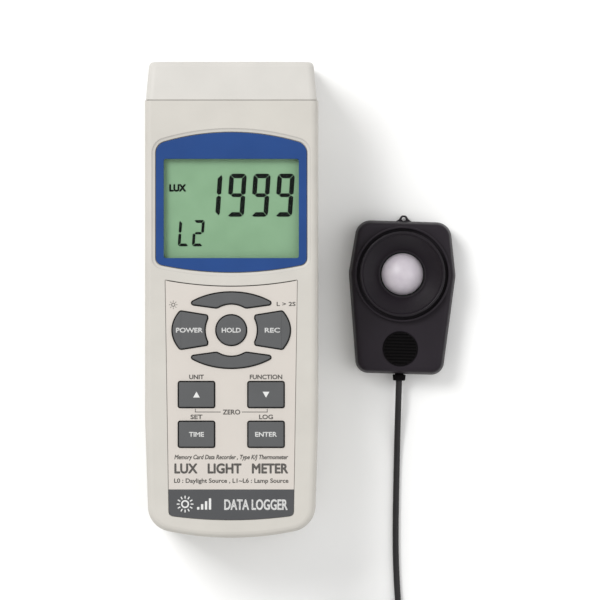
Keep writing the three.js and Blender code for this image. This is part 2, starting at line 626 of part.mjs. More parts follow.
function sensorTopShell() {
  const { split, top, floor, wallTop, wallOuter, wallInner, holeRadius, wall } = SENSOR;
  const outer = join(sensorShell([[split + SEAT, 0], [9.5, 0.7], [11.3, 1.3], [12.2, 2.3], [top, 3.6]]),
    rod(0, 0, wallOuter, 10.5, wallTop, 48));
  const cavity = slab(sensorOutline(wall + 0.6), split - 1, floor - 1.6);
  const gripSeat = rod(0, GRIP.y, GRIP.radius + GAP, GRIP.bottom - 0.1, top + 1, 32);
  const hollow = cut(outer, cavity, rod(0, 0, wallInner, floor, wallTop + 1, 48),
    rod(0, 0, holeRadius, 9, 13, 40), gripSeat, grommetHole());
  const bosses = SENSOR_SCREWS.map(([x, y]) => rod(x, y, 2.4, split + SEAT, floor - 1.4));
  const bores = SENSOR_SCREWS.map(([x, y]) => rod(x, y, 1.1, split - 1, 9.6, 10));
  return cut(join(hollow, ...bosses), ...bores);
}

function sensorBaseShell() {
  const { split, wall } = SENSOR;
  const shell = cut(sensorShell([[0, 2], [0.5, 1.1], [1.6, 0.5], [split - SEAT, 0]]),
    slab(sensorOutline(wall), 1.8, split + 1), grommetHole());
  const earOutline = [...arc(0, 21.3, 1.5, 35, 145, 6), ...[[-3, 20], [-3, 19], [3, 19], [3, 20]]
    .map(([x, y]) => new THREE.Vector2(x, y))];
  const ear = slab(earOutline, 1.6, 4.2);
  const tubes = SENSOR_SCREWS.map(([x, y]) => rod(x, y, 2.6, 1, split - SEAT));
  const bores = SENSOR_SCREWS.flatMap(([x, y]) => [
    rod(x, y, 2, -1, 1.9, 12),
    rod(x, y, 1.1, 1, split + 1, 10),
  ]);
  return cut(join(shell, ear, ...tubes), ...bores, rod(0, 21.3, 0.9, 0, 5, 12));
}

// Ring-shaped cup with a sloping dish around the diffuser.
function sensorCup() {
  const { neckRadius, rimRadius, seat, rimTop, bottom, lipRadius, lipZ, dishRadius, dishZ } = CUP;
  return turned([[lipRadius, bottom], [neckRadius, bottom], [neckRadius, seat], [rimRadius, seat],
    [rimRadius, rimTop - 0.4], [rimRadius - 0.4, rimTop], [rimRadius - 0.8, rimTop], [dishRadius, dishZ],
    [lipRadius + 0.6, lipZ], [lipRadius, lipZ], [lipRadius, bottom]], 32);
}

function diffuserDome() {
  const { baseRadius, radius, bottom, shoulder, top } = DOME;
  const crown = Array.from({ length: 7 }, (_, i) => {
    const angle = i / 6 * Math.PI / 2;
    return [radius * Math.cos(angle), shoulder + (top - shoulder) * Math.sin(angle)];
  });
  crown[6][0] = 0;
  return turned([[0, bottom], [baseRadius, bottom], [baseRadius, shoulder - 0.4], ...crown], 32);
}

function cordGrommet() {
  const edge = -SENSOR_EDGE;
  const profile = [[0, edge - 4.1], [2.8, edge - 4.1], [2.8, edge - 2.8], [1.75, edge - 2.8],
    [1.75, edge + GAP], [2.55, edge + GAP], [2.35, edge + 2.6], [0, edge + 2.6]];
  return turned(profile, 20).rotateX(Math.PI / 2).translate(0, 0, SENSOR.split);
}

// ---------------------------------------------------------------- cord, coil and plug

// Points that the free cord follows from the grommet to the coil: straight out of the sensor, down
// to the table, and on to where it joins the outer turn.
const CORD_RUN = [[64.55, -31.6, 5], [64.32, -39, 4.75], [64.12, -46, 3.7], [63.95, -53, 2.4],
  [63.8, -60, 1.5], [63.6, -70, 1.25], [63.4, -80, 1.25], [63.3, -90, 1.25], [63.4, -100, 1.25],
  [63.8, -110, 1.3], [64.3, -118, 1.6], [64.7, -125, 1.9], [64.9, -130.2, 2]];
const CORD_TAIL = [[39, -156.1, 9.5], [36, -156.05, 8.9], [32.5, -155.9, 7.4], [29.5, -155.8, 6.1],
  [27.3, -155.8, 5.7]];

function cordTube(points) {
  const route = points.map(([x, y, z]) => new THREE.Vector3(x, y, z));
  const curve = new THREE.CatmullRomCurve3(route, false, 'centripetal');
  const section = new THREE.Shape(arc(0, 0, CORD.radius, 0, 360 - 360 / CORD.sides, CORD.sides - 1));
  const steps = Math.max(4, Math.round(curve.getLength() / (2.4 * CORD.radius * 2)));
  return new THREE.ExtrudeGeometry(section, { steps, bevelEnabled: false, extrudePath: curve });
}

function cordCoil() {
  const { x, y, innerRadius, outerRadius, z0, z1 } = COIL;
  const profile = [[innerRadius + 0.8, z0], [outerRadius - 0.8, z0], [outerRadius, z0 + 1],
    [outerRadius, z1 - 1], [outerRadius - 0.8, z1], [innerRadius + 0.8, z1], [innerRadius, z1 - 1],
    [innerRadius, z0 + 1], [innerRadius + 0.8, z0]];
  return turned(profile, 28).translate(x, y, 0);
}

// Band around the coil's turns on the side nearest the meter.
function cordTie() {
  const { x, y, innerRadius, outerRadius, z0, z1 } = COIL;
  const direction = THREE.MathUtils.degToRad(135);
  const thickness = 0.6;
  const bend = 0.35;         // how far the round inner side of the coil curves in behind the flat band
  const near = innerRadius - GAP - bend;
  const far = outerRadius + GAP;
  const outer = box(near - thickness, far + thickness, -2.5, 2.5, z0 - 0.7, z1 + 0.9);
  const inner = box(near, far, -4, 4, z0 - 0.1, z1 + GAP);
  return cut(outer, inner).rotateZ(direction).translate(x, y, 0);
}

// Tapered boot and round grip of the plug, lying along X.
function plugGrip() {
  const { bootX, gripX, shellX, gripRadius, y, z } = PLUG;
  const along = (x) => bootX - x;
  return turned([[0, 0], [1.9, 0], [2.7, along(gripX) - 1], [gripRadius - 0.6, along(gripX)],
    [gripRadius, along(gripX) + 1], [gripRadius, along(shellX) - 0.6], [gripRadius - 0.6, along(shellX)],
    [0, along(shellX)]], 20).rotateY(-Math.PI / 2).translate(bootX, y, z);
}

// Metal sleeve of the plug, open at its end.
function plugShell() {
  const { shellX, endX, sleeveOuter, sleeveInner, y, z } = PLUG;
  const length = shellX - GAP - endX;
  const profile = [[0, 0], [sleeveOuter, 0], [sleeveOuter, length], [sleeveInner, length],
    [sleeveInner, 1], [0, 1]];
  return turned(profile).rotateY(-Math.PI / 2).translate(shellX - GAP, y, z);
}

// ---------------------------------------------------------------- assembly

function part(name, geometry, material) {
  const mesh = new THREE.Mesh(geometry, material);
  mesh.name = name;
  return mesh;
}

function meter() {
  const { lcd, black, clear, darkGrey } = MATERIAL;
  const holderInner = displayPane(0.3, 39, 45);
  const group = new THREE.Group();
  group.add(
    part('front_case', frontCase(), MATERIAL.beige),
    part('rear_case', rearCase(), MATERIAL.beige),
    part('top_cap', topCap(), MATERIAL.capBeige),
    part('display_bezel', displayBezel(), MATERIAL.blue),
    part('display_window', displayPane(0, 44.25, 45.15), clear),
    part('lcd_glass', displayPane(0, 41.6, 44), lcd),
    part('lcd_holder', cut(displayPane(2, 39.2, 44), holderInner), MATERIAL.white),
    part('backlight_panel', displayPane(0, 39.3, 41.3), MATERIAL.white),
    part('keypad_overlay', keypadOverlay(), MATERIAL.overlay),
    part('keypad_mat', keypadMat(), MATERIAL.silicone),
    part('main_board', mainBoard(), MATERIAL.board),
    part('probe_socket', probeSocket(), black),
    part('thermocouple_socket', thermocoupleSocket(), MATERIAL.brass),
    part('data_jack', dataJack(), black),
    part('power_jack', powerJack(), black),
    part('card_socket', cardSocket(), MATERIAL.steel),
    part('battery_contacts_left', batteryContacts(-1), MATERIAL.steel),
    part('battery_contacts_right', batteryContacts(1), MATERIAL.steel),
    part('tripod_insert', tripodInsert(), MATERIAL.brass),
    part('tilt_stand', tiltStand(), MATERIAL.beige),
    part('battery_cover', batteryCover(), MATERIAL.beige),
    part('battery_cover_screw', screw(0, COVER.screwY, [0.6, 1.5], 10), MATERIAL.steel),
    part('jack_cover', jackCover(), darkGrey),
    part('memory_card', memoryCard(), black),
    part('reset_button', resetButton(), darkGrey),
  );
  for (const [name, spec] of Object.entries(KEYS)) {
    group.add(part(name, key(spec), MATERIAL.keyGrey));
  }
  const cells = CELL.layers.flatMap((z, layer) => (
    CELL.rows.map((y, row) => cell(y, z, (layer + row) % 2 ? 1 : -1))));
  cells.forEach((geometry, i) => group.add(part(`battery_${i + 1}`, geometry, MATERIAL.cell)));
  CASE_SCREWS.forEach(([x, y], i) => {
    const geometry = screw(x, y, [SCREW.headBottom, SCREW.headTop], 37);
    group.add(part(`case_screw_${i + 1}`, geometry, MATERIAL.steel));
  });
  return group;
}

function sensor() {
  const { black, darkGrey } = MATERIAL;
  const group = new THREE.Group();
  group.position.set(SENSOR.x, SENSOR.y, 0);
  group.rotation.z = THREE.MathUtils.degToRad(SENSOR.turn);
  group.add(
    part('sensor_top_shell', sensorTopShell(), black),
    part('sensor_base_shell', sensorBaseShell(), black),
    part('sensor_cup', sensorCup(), black),
    part('diffuser_dome', diffuserDome(), MATERIAL.dome),
    part('photodiode', turned([[0, 5.1], [4.2, 5.1], [4.2, 6], [3.6, 6.5], [0, 6.5]]), darkGrey),
    part('sensor_board', box(-12, 12, -13, 13, 3.2, 4.8), MATERIAL.board),
    part('thumb_grip', rod(0, GRIP.y, GRIP.radius, GRIP.bottom, GRIP.top, 32), MATERIAL.rubber),
    part('cord_grommet', cordGrommet(), MATERIAL.rubber),
  );
  SENSOR_SCREWS.forEach(([x, y], i) => {
    group.add(part(`sensor_screw_${i + 1}`, screw(x, y, [0.5, 1.6], 8, 1.7, 0.8), MATERIAL.steel));
  });
  return group;
}

function cord() {
  const group = new THREE.Group();
  group.add(
    part('cord_run', cordTube(CORD_RUN), MATERIAL.cord),
    part('cord_coil', cordCoil(), MATERIAL.cord),
    part('cord_tail', cordTube(CORD_TAIL), MATERIAL.cord),
    part('cord_tie', cordTie(), MATERIAL.rubber),
    part('plug_grip', plugGrip(), MATERIAL.rubber),
    part('plug_shell', plugShell(), MATERIAL.steel),
  );
  return group;
}

const lightMeter = new THREE.Group();
lightMeter.add(meter(), sensor(), cord());

export default lightMeter;
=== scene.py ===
import math

import bmesh
import bpy
from mathutils import Matrix, Vector


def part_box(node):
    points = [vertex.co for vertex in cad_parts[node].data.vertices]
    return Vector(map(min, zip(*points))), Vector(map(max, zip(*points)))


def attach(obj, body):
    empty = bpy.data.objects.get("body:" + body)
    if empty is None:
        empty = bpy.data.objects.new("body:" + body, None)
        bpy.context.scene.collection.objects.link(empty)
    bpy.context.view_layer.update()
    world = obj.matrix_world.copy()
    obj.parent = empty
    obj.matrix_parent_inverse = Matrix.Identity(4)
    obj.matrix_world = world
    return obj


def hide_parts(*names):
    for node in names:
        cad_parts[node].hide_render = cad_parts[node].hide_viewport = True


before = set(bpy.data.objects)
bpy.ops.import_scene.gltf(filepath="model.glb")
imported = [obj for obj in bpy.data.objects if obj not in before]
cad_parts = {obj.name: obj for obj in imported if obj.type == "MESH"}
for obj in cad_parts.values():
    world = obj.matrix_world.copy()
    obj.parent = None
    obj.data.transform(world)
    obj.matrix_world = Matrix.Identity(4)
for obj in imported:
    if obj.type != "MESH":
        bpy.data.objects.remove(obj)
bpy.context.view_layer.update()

MM = 0.001
GAP = 0.3                       # clearance between neighbouring pieces
WALL = 2.2                      # wall thickness of the meter's shells
FLAT_BORDER = 0.08              # strip beside a rounded edge that keeps the shading of a flat end flat
PRINT = 0.03                    # height of printed letters
SHARP_ANGLE = math.radians(32)  # a larger bend between two faces is an edge
CAP_RATIO = 0.69                # cap height of the built-in typeface at size 1


# ---- places taken from the frame

def box_of(node):
    """Lowest and highest corner of a CAD node, in millimetres."""
    low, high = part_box(node)
    return Vector(low) / MM, Vector(high) / MM


def middle_of(node):
    low, high = box_of(node)
    return (low + high) / 2


FRONT_LOW, FRONT_HIGH = box_of("front_case")
BEZEL_LOW, BEZEL_HIGH = box_of("display_bezel")
FILM_LOW, FILM_HIGH = box_of("keypad_overlay")
FACE_Z = FRONT_HIGH.z


# ---- camera and light

VIEW_WIDTH = 228.7              # width of the view at the meter's front face
VIEW_CENTRE = (26.2, 0.1)
LENS = 400
FILM_WIDTH = 36


def make_camera():
    """Long lens straight above the front face."""
    data = bpy.data.cameras.new("camera")
    data.lens = LENS
    data.sensor_width = FILM_WIDTH
    data.clip_end = 50
    camera = bpy.data.objects.new("camera", data)
    height = FACE_Z + VIEW_WIDTH * LENS / FILM_WIDTH
    camera.location = Vector((*VIEW_CENTRE, height)) * MM
    bpy.context.collection.objects.link(camera)
    bpy.context.scene.camera = camera


def area_light(name, place, size, power):
    """Soft square light, in metres and watts, that points at the meter and stays out of the picture."""
    data = bpy.data.lights.new(name, "AREA")
    data.shape = "SQUARE"
    data.size = size
    data.energy = power
    light = bpy.data.objects.new(name, data)
    light.location = place
    light.rotation_euler = (-Vector(place)).to_track_quat("-Z", "Y").to_euler()
    light.visible_camera = False
    bpy.context.collection.objects.link(light)


def make_lights():
    area_light("key_light", (-0.9, 0.85, 1.4), 0.8, 22)
    area_light("fill_light", (1.1, -0.1, 1.2), 1.4, 7)
    area_light("front_light", (-0.2, -1.4, 0.9), 1.2, 2)
    world = bpy.data.worlds.new("studio")
    world.use_nodes = True
    sky = world.node_tree.nodes["Background"]
    sky.inputs["Color"].default_value = (1, 1, 1, 1)
    sky.inputs["Strength"].default_value = 0.62
    bpy.context.scene.world = world
    bpy.context.scene.view_settings.view_transform = "Standard"


# ---- outlines

def arc(x, y, radius, start, end, steps):
    """Points along an arc between two angles in degrees."""
    points = []
    for i in range(steps + 1):
        angle = math.radians(start + (end - start) * i / steps)
        points.append(Vector((x + radius * math.cos(angle), y + radius * math.sin(angle))))
    return points


def circle(x, y, radius, steps=96):
    return arc(x, y, radius, 0, 360 - 360 / steps, steps - 1)


def bend_between(before, after):
    """Angle in radians from one direction to the next, counter-clockwise."""
    return math.atan2(before.x * after.y - before.y * after.x, before.dot(after))


def rounded(corners, step=9):
    """Outline from (x, y, radius) corners, with an arc at every corner that has a radius."""
    points = []
    for i, (x, y, radius) in enumerate(corners):
        corner = Vector((x, y))
        before = (corner - Vector(corners[i - 1][:2])).normalized()
        after = (Vector(corners[(i + 1) % len(corners)][:2]) - corner).normalized()
        bend = bend_between(before, after)
        if radius == 0 or bend == 0:
            points.append(corner)
            continue
        side = math.copysign(1, bend)
        centre = corner - before * radius * math.tan(abs(bend) / 2)
        centre += Vector((-before.y, before.x)) * radius * side
        start = math.degrees(math.atan2(before.y, before.x)) - 90 * side
        sweep = math.degrees(bend)
        points += arc(*centre, radius, start, start + sweep, max(2, round(abs(sweep) / step)))
    return points


def rectangle(half_x, half_y, radius=0, x=0, y=0, step=9):
    signs = ((1, 1), (-1, 1), (-1, -1), (1, -1))
    return rounded([(x + right * half_x, y + up * half_y, radius) for right, up in signs], step)


def grown(points, distance):
    """Counter-clockwise outline moved outwards by a distance, or inwards by a negative one."""
    moved = []
    for i, point in enumerate(points):
        before = (point - points[i - 1]).normalized()
        after = (points[(i + 1) % len(points)] - point).normalized()
        middle = (before + after).normalized()
        moved.append(point + Vector((middle.y, -middle.x)) * distance / middle.dot(after))
    return moved


def trimmed(points, first, last):
    """Open row of points without the given lengths at its first and last end."""
    for left in (first, last):
        while (points[1] - points[0]).length < left:
            left -= (points[1] - points[0]).length
            points = points[1:]
        start = points[0] + (points[1] - points[0]).normalized() * left
        points = [start, *points[1:]][::-1]
    return points


def softened(sides, lengths):
    """Closed outline of open sides. The corner after each side gives up that side's length to a curve."""
    steps = 5
    kept = [trimmed(side, lengths[i - 1], lengths[i]) for i, side in enumerate(sides)]
    outline = []
    for i, side in enumerate(sides):
        outline += kept[i]
        start, corner, end = kept[i][-1], side[-1], kept[(i + 1) % len(kept)][0]
        for k in range(1, steps):
            t = k / steps
            outline.append(start * (1 - t) ** 2 + corner * 2 * t * (1 - t) + end * t ** 2)
    return outline


def straight(start, end):
    """Points about a third of a millimetre apart along a straight line."""
    steps = math.ceil((end - start).length / 0.35)
    return [start.lerp(end, i / steps) for i in range(steps + 1)]


def clearance(point, outline):
    """Distance from a point to the nearest side of an outline."""
    nearest = math.inf
    for start, end in zip(outline, [*outline[1:], outline[0]]):
        part = (point - start).dot(end - start) / (end - start).length_squared
        nearest = min(nearest, (point - start.lerp(end, max(0, min(1, part)))).length)
    return nearest


def blunted(outline, radius):
    """Outline with its outward corners rounded to at least a radius: moved in, then out round its points."""
    # A point that crosses over from another side comes closer to the outline than the radius.
    core = [point for point in grown(outline, -radius) if clearance(point, outline) > radius * 0.985]
    blunt = []
    for i, point in enumerate(core):
        before = point - core[i - 1]
        after = core[(i + 1) % len(core)] - point
        bend = math.degrees(bend_between(before, after))
        start = math.degrees(math.atan2(before.y, before.x)) - 90
        is_corner = bend > 12
        if is_corner:
            blunt += arc(*point, radius, start, start + bend, round(bend / 9))
        else:
            blunt += arc(*point, radius, start + bend / 2, start + bend / 2, 1)[:1]
    return blunt


def smooth(levels):
    """Rows of numbers along the smooth curve through the given rows, four to each stretch."""
    steps = 4
    rows = [Vector(level) for level in levels]
    ends = [rows[0] * 2 - rows[1], *rows, rows[-1] * 2 - rows[-2]]
    curve = []
    for a, b, c, d in zip(ends, ends[1:], ends[2:], ends[3:]):
        for k in range(steps):
            t = k / steps
            curve.append((b * 2 + (c - a) * t + (a * 2 - b * 5 + c * 4 - d) * t ** 2
                          + (b * 3 - a - c * 3 + d) * t ** 3) / 2)
    return [*curve, rows[-1]]


def quarter(radius, steps=4):
    """(inset, rise) pairs around a quarter-round edge."""
    return [(radius - point.x, point.y) for point in arc(0, 0, radius, 0, 90, steps)]


# ---- meshes

def finished(shape):
    """Turns a bmesh in millimetres into a mesh in metres."""
    bmesh.ops.scale(shape, vec=(MM, MM, MM), verts=shape.verts)
    bmesh.ops.recalc_face_normals(shape, faces=shape.faces)
    mesh = bpy.data.meshes.new("shape")
    shape.to_mesh(mesh)
    shape.free()
    return mesh


def ring(points, z):
    return [Vector((*point, z)) for point in points]


def loft(rings):
    """Closed mesh through stacked rings of equally many points, with flat ends."""
    shape = bmesh.new()
    rows = [[shape.verts.new(point) for point in points] for points in rings]
    count = len(rows[0])
    for low, high in zip(rows, rows[1:]):
        for i in range(count):
            j = (i + 1) % count
            shape.faces.new((low[i], low[j], high[j], high[i]))
    shape.faces.new(rows[0][::-1])
    shape.faces.new(rows[-1])
    return finished(shape)


def turned(profile, segments):
    """Mesh of revolution about Z through (radius, z) pairs that start and end on the axis, or close."""
    shape = bmesh.new()
    rows = []
    for radius, z in profile:
        count = segments if radius > 1e-6 else 1
        points = circle(0, 0, radius, segments)[:count]
        rows.append([shape.verts.new((*point, z)) for point in points] * (segments // count))
    closes = len(rows[0][:2]) == 2 and rows[0][0] is not rows[0][1]
    for low, high in zip(rows, [*rows[1:], *([rows[0]] if closes else [])]):
        for i in range(segments):
            j = (i + 1) % segments
            corners = list(dict.fromkeys((low[i], low[j], high[j], high[i])))
            if len(corners) > 2:
                shape.faces.new(corners)
    return finished(shape)


def lathe(corners, segments=96, step=30):
    """Mesh of revolution about Z from (radius, z, corner radius) corners."""
    return turned([(point.x, point.y) for point in rounded(corners, step)], segments)


def stacked(outline, levels):
    """Closed mesh through copies of an outline, each at its (z, growth)."""
    return loft([ring(grown(outline, growth), z) for z, growth in levels])


def slab(outline, low, high):
    return loft([ring(outline, low), ring(outline, high)])


def block(low, high):
    """Box between two corners."""
    centre = (Vector(low) + Vector(high)) / 2
    half = Vector(high) - centre
    return slab(rectangle(half.x, half.y, 0, centre.x, centre.y), low[2], high[2])


def grooves(count, step, low, high):
    """Boxes of one size in a row: the first between two corners, each of the others one step further."""
    return [block(Vector(low) + Vector(step) * i, Vector(high) + Vector(step) * i) for i in range(count)]


def pillow(outline, low, high, lower_edge=0.2, upper_edge=0.2):
    """Plate with rounded lower and upper edges, and a narrow flat border that keeps its ends flat."""
    levels = [(low, -lower_edge - FLAT_BORDER)]
    levels += [(low + lower_edge - rise, -inset) for inset, rise in quarter(lower_edge)[::-1]]
    levels += [(high - upper_edge + rise, -inset) for inset, rise in quarter(upper_edge)]
    return stacked(outline, [*levels, (high, -upper_edge - FLAT_BORDER)])


def opening(outline, floor, face, flare):
    """Tool that cuts a pocket from a face down to a floor and rounds the pocket's rim."""
    outward = math.copysign(1, face - floor)
    levels = [(floor, 0)]
    levels += [(face - outward * (flare - rise), growth) for growth, rise in quarter(flare)]
    levels.append((face + outward, flare))
    return stacked(outline, levels if outward > 0 else levels[::-1])


def rod(start, end, radius, segments=48):
    """Plain round rod between two points."""
    axis = Vector(end) - Vector(start)
    aim = axis.to_track_quat("Z", "Y").to_matrix().to_4x4()
    return placed(slab(circle(0, 0, radius, segments), 0, axis.length), Matrix.Translation(start) @ aim)


def turn(degrees, axis):
    return Matrix.Rotation(math.radians(degrees), 4, axis)


def placed(mesh, matrix):
    """Moves a mesh by a matrix whose lengths are millimetres."""
    moved = matrix.copy()
    moved.translation *= MM
    mesh.transform(moved)
    return mesh


def evaluated(item):
    """New mesh of an object with its modifiers applied."""
    bpy.context.view_layer.update()
    return bpy.data.meshes.new_from_object(item.evaluated_get(bpy.context.evaluated_depsgraph_get()))


def combined(operation, mesh, tools):
    """Mesh after one boolean step with each of the tools."""
    items = []
    for data in [mesh, *tools]:
        item = bpy.data.objects.new("body", data)
        bpy.context.collection.objects.link(item)
        items.append(item)
    for tool in items[1:]:
        modifier = items[0].modifiers.new("step", "BOOLEAN")
        modifier.operation = operation
        modifier.solver = "EXACT"
        modifier.object = tool
    result = evaluated(items[0])
    for item, data in zip(items, [mesh, *tools]):
        bpy.data.objects.remove(item)
        bpy.data.meshes.remove(data)
    return result


def carved(mesh, *tools):
    return combined("DIFFERENCE", mesh, tools)


def united(mesh, *others):
    return combined("UNION", mesh, others)


def together(*meshes):
    """One mesh of several that stay apart. Each keeps its place in the list as its material index."""
    shape = bmesh.new()
    for index, mesh in enumerate(meshes):
        first = len(shape.faces)
        shape.from_mesh(mesh)
        shape.faces.ensure_lookup_table()
        for face in shape.faces[first:]:
            face.material_index = index
        bpy.data.meshes.remove(mesh)
    whole = bpy.data.meshes.new("whole")
    shape.to_mesh(whole)
    shape.free()
    return whole


def merged(meshes):
    """One mesh of several that share a material."""
    whole = together(*meshes)
    whole.polygons.foreach_set("material_index", [0] * len(whole.polygons))
    return whole


# ---- pieces

def piece(name, mesh, body, materials, replaces=()):
    """Makes a mesh a piece that rides on a body and stands for the CAD nodes that it replaces."""
    item = bpy.data.objects.new(name, mesh)
    mesh.name = name
    bpy.context.collection.objects.link(item)
    for material in materials:
        mesh.materials.append(material)
    mesh.polygons.foreach_set("use_smooth", [True] * len(mesh.polygons))
    mesh.set_sharp_from_angle(angle=SHARP_ANGLE)
    normals = item.modifiers.new("weighted_normals", "WEIGHTED_NORMAL")
    normals.keep_sharp = True
    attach(item, body)
    if replaces:
        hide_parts(*replaces)
    return item


def refined(node, body, material, edge=0.12, tools=()):
    """Piece with a CAD node's shape less some tools, its edges broken by a fine round."""
    shape = bmesh.new()
    shape.from_mesh(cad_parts[node].data)
    bmesh.ops.remove_doubles(shape, verts=shape.verts, dist=1e-6)
    bmesh.ops.dissolve_limit(shape, angle_limit=math.radians(0.5), verts=shape.verts, edges=shape.edges)
    mesh = bpy.data.meshes.new(node)
    shape.to_mesh(mesh)
    shape.free()
    if tools:
        mesh = carved(mesh, *tools)
    item = piece(f"{node}_fine", mesh, body, [material], [node])
    if edge:
        bevel = item.modifiers.new("edges", "BEVEL")
        bevel.width = edge * MM
        bevel.segments = 2
        bevel.limit_method = "ANGLE"
        bevel.angle_limit = math.radians(35)
        item.modifiers.move(1, 0)
    return item


def lettering(text, x, y, height, width, z, weight, shear=0.0):
    """Flat printed words of a cap height and a width around (x, y), their strokes thickened by a weight."""
    data = bpy.data.curves.new("letters", "FONT")
    data.body = text
    data.extrude = 0.5
    data.shear = shear
    data.resolution_u = 4
    item = bpy.data.objects.new("letters", data)
    bpy.context.collection.objects.link(item)
    letters = evaluated(item)
    bpy.data.objects.remove(item)
    bpy.data.curves.remove(data)
    left = min(vertex.co.x for vertex in letters.vertices)
    right = max(vertex.co.x for vertex in letters.vertices)
    factors = ((width - weight) / (right - left), (height - weight) / CAP_RATIO, PRINT)
    scale = Matrix.Diagonal((*[factor * MM for factor in factors], 1))
    letters.transform(scale @ Matrix.Translation(((-left - right) / 2, -CAP_RATIO / 2, 0.5)))
    copies = []
    for i in range(8):
        angle = math.pi * i / 4
        copy = letters.copy()
        place = (x + math.cos(angle) * weight / 2, y + math.sin(angle) * weight / 2, z + i * PRINT / 20)
        copies.append(placed(copy, Matrix.Translation(place)))
    bpy.data.meshes.remove(letters)
    return merged(copies)


# ---- materials

class Shader:
    """A new material whose nodes are added one by one."""

    def __init__(self, name):
        self.material = bpy.data.materials.new(name)
        self.material.use_nodes = True
        self.tree = self.material.node_tree
        self.tree.nodes.clear()

    def add(self, kind, sockets=None, **settings):
        node = self.tree.nodes.new("ShaderNode" + kind)
        for key, value in settings.items():
            setattr(node, key, value)
        for key, value in (sockets or {}).items():
            if isinstance(value, bpy.types.NodeSocket):
                self.tree.links.new(value, node.inputs[key])
            else:
                node.inputs[key].default_value = value
        return node

    def noise(self, size, detail):
        """Noise value whose features are about `size` millimetres across."""
        sockets = {"Vector": self.place(), "Scale": 1 / (size * MM), "Detail": detail}
        return self.add("TexNoise", sockets).outputs["Fac"]

    def place(self):
        return self.add("TexCoord").outputs["Object"]

    def ranged(self, value, low, high, start=0.3, end=0.7):
        """The value's part between start and end, spread from low to high."""
        sockets = {"Value": value, "From Min": start, "From Max": end, "To Min": low, "To Max": high}
        return self.add("MapRange", sockets).outputs["Result"]

    def drift(self, size, detail, low, high):
        """Value that wanders between low and high over patches of about `size` millimetres."""
        return self.ranged(self.noise(size, detail), low, high)

    def mixed(self, factor, first, second):
        return self.add("Mix", {0: factor, 6: first, 7: second}, data_type="RGBA").outputs[2]

    def bump(self, height, strength, depth, **sockets):
        """Surface direction bent by a height value of up to `depth` millimetres."""
        values = {"Strength": strength, "Distance": depth * MM, "Height": height, **sockets}
        return self.add("Bump", values).outputs["Normal"]

    def finish(self, tone, gloss, sockets):
        """The whole material, from its colour, its roughness and the other sockets of its surface."""
        values = {"Base Color": tone, "Roughness": gloss, **sockets}
        principled = self.add("BsdfPrincipled", values).outputs["BSDF"]
        self.add("OutputMaterial", {"Surface": principled})
        return self.material


EXPOSURE = 0.78                 # share of a colour that gives that colour back in the studio's light


def shade(code, gain=1.0):
    """Linear colour with alpha from a hexadecimal sRGB code, times a gain."""
    channels = [int(code[i:i + 2], 16) / 255 for i in (0, 2, 4)]
    linear = [c / 12.92 if c <= 0.04045 else ((c + 0.055) / 1.055) ** 2.4 for c in channels]
    return (*[c * gain for c in linear], 1.0)


def varied(colour, factor, lift=0.0):
    return (*[min(1.0, channel * factor + lift) for channel in colour[:3]], 1.0)


def surface(name, code, roughness, grain=0.35, relief=0.012, mottle=0.03, wear=0.1, edge=0.12,
            gain=EXPOSURE, sheen=0.3, metallic=0.0):
    """Moulded or metal surface: fine grain, slow changes of colour and gloss, and edges rubbed paler."""
    shader = Shader(name)
    base = shade(code, gain)
    dark = varied(base, 1 - mottle)
    tone = shader.mixed(shader.drift(14, 3, 0, 1), dark, varied(base, 1 + mottle))
    speck = shader.ranged(shader.noise(grain * 0.7, 1), 0, 0.5, 0.55, 0.8)
    tone = shader.mixed(speck, tone, dark)
    round_edge = shader.add("Bevel", {"Radius": edge * MM}, samples=4).outputs["Normal"]
    flat = shader.add("NewGeometry").outputs["True Normal"]
    facing = shader.add("VectorMath", {0: round_edge, 1: flat}, operation="DOT_PRODUCT").outputs["Value"]
    tone = shader.mixed(shader.ranged(facing, wear, 0, 0.75, 0.98), tone, varied(base, 1.25, 0.03))
    normal = shader.bump(shader.noise(grain, 3), 1.0, relief, Normal=round_edge)
    gloss = shader.drift(5, 4, roughness - 0.05, roughness + 0.05)
    return shader.finish(tone, gloss, {"Normal": normal, "Metallic": metallic, "Specular IOR Level": sheen})


def display_green():
    """Reflective liquid-crystal layer: green, faintly cloudy, a little glossy."""
    shader = Shader("lcd_green")
    tone = shader.mixed(shader.drift(9, 2, 0, 1), shade("8ab08b", EXPOSURE), shade("90b691", EXPOSURE))
    normal = shader.bump(shader.noise(0.12, 1), 0.4, 0.004)
    return shader.finish(tone, shader.drift(3, 3, 0.42, 0.55), {"Normal": normal, "Specular IOR Level": 0.15})


def clear_pane():
    """Clear window, so thin a tint that the display shows through it unchanged."""
    shader = Shader("window_clear")
    tone = shader.mixed(shader.drift(12, 2, 0, 1), shade("8a9693"), shade("7d8a86"))
    return shader.finish(tone, shader.drift(4, 4, 0.04, 0.1), {"Alpha": 0.01, "IOR": 1.45})


def opal():
    """Milky diffuser plastic that lets light in a little way."""
    shader = Shader("diffuser_opal")
    tone = shader.mixed(shader.drift(3, 2, 0, 1), shade("d2cad3", EXPOSURE), shade("dad3da", EXPOSURE))
    return shader.finish(tone, shader.drift(2, 3, 0.34, 0.46), {
        "Normal": shader.bump(shader.noise(0.25, 2), 0.5, 0.01),
        "Subsurface Weight": 0.35,
        "Subsurface Radius": (1.0, 0.9, 1.0),
        "Subsurface Scale": 0.0012,
    })


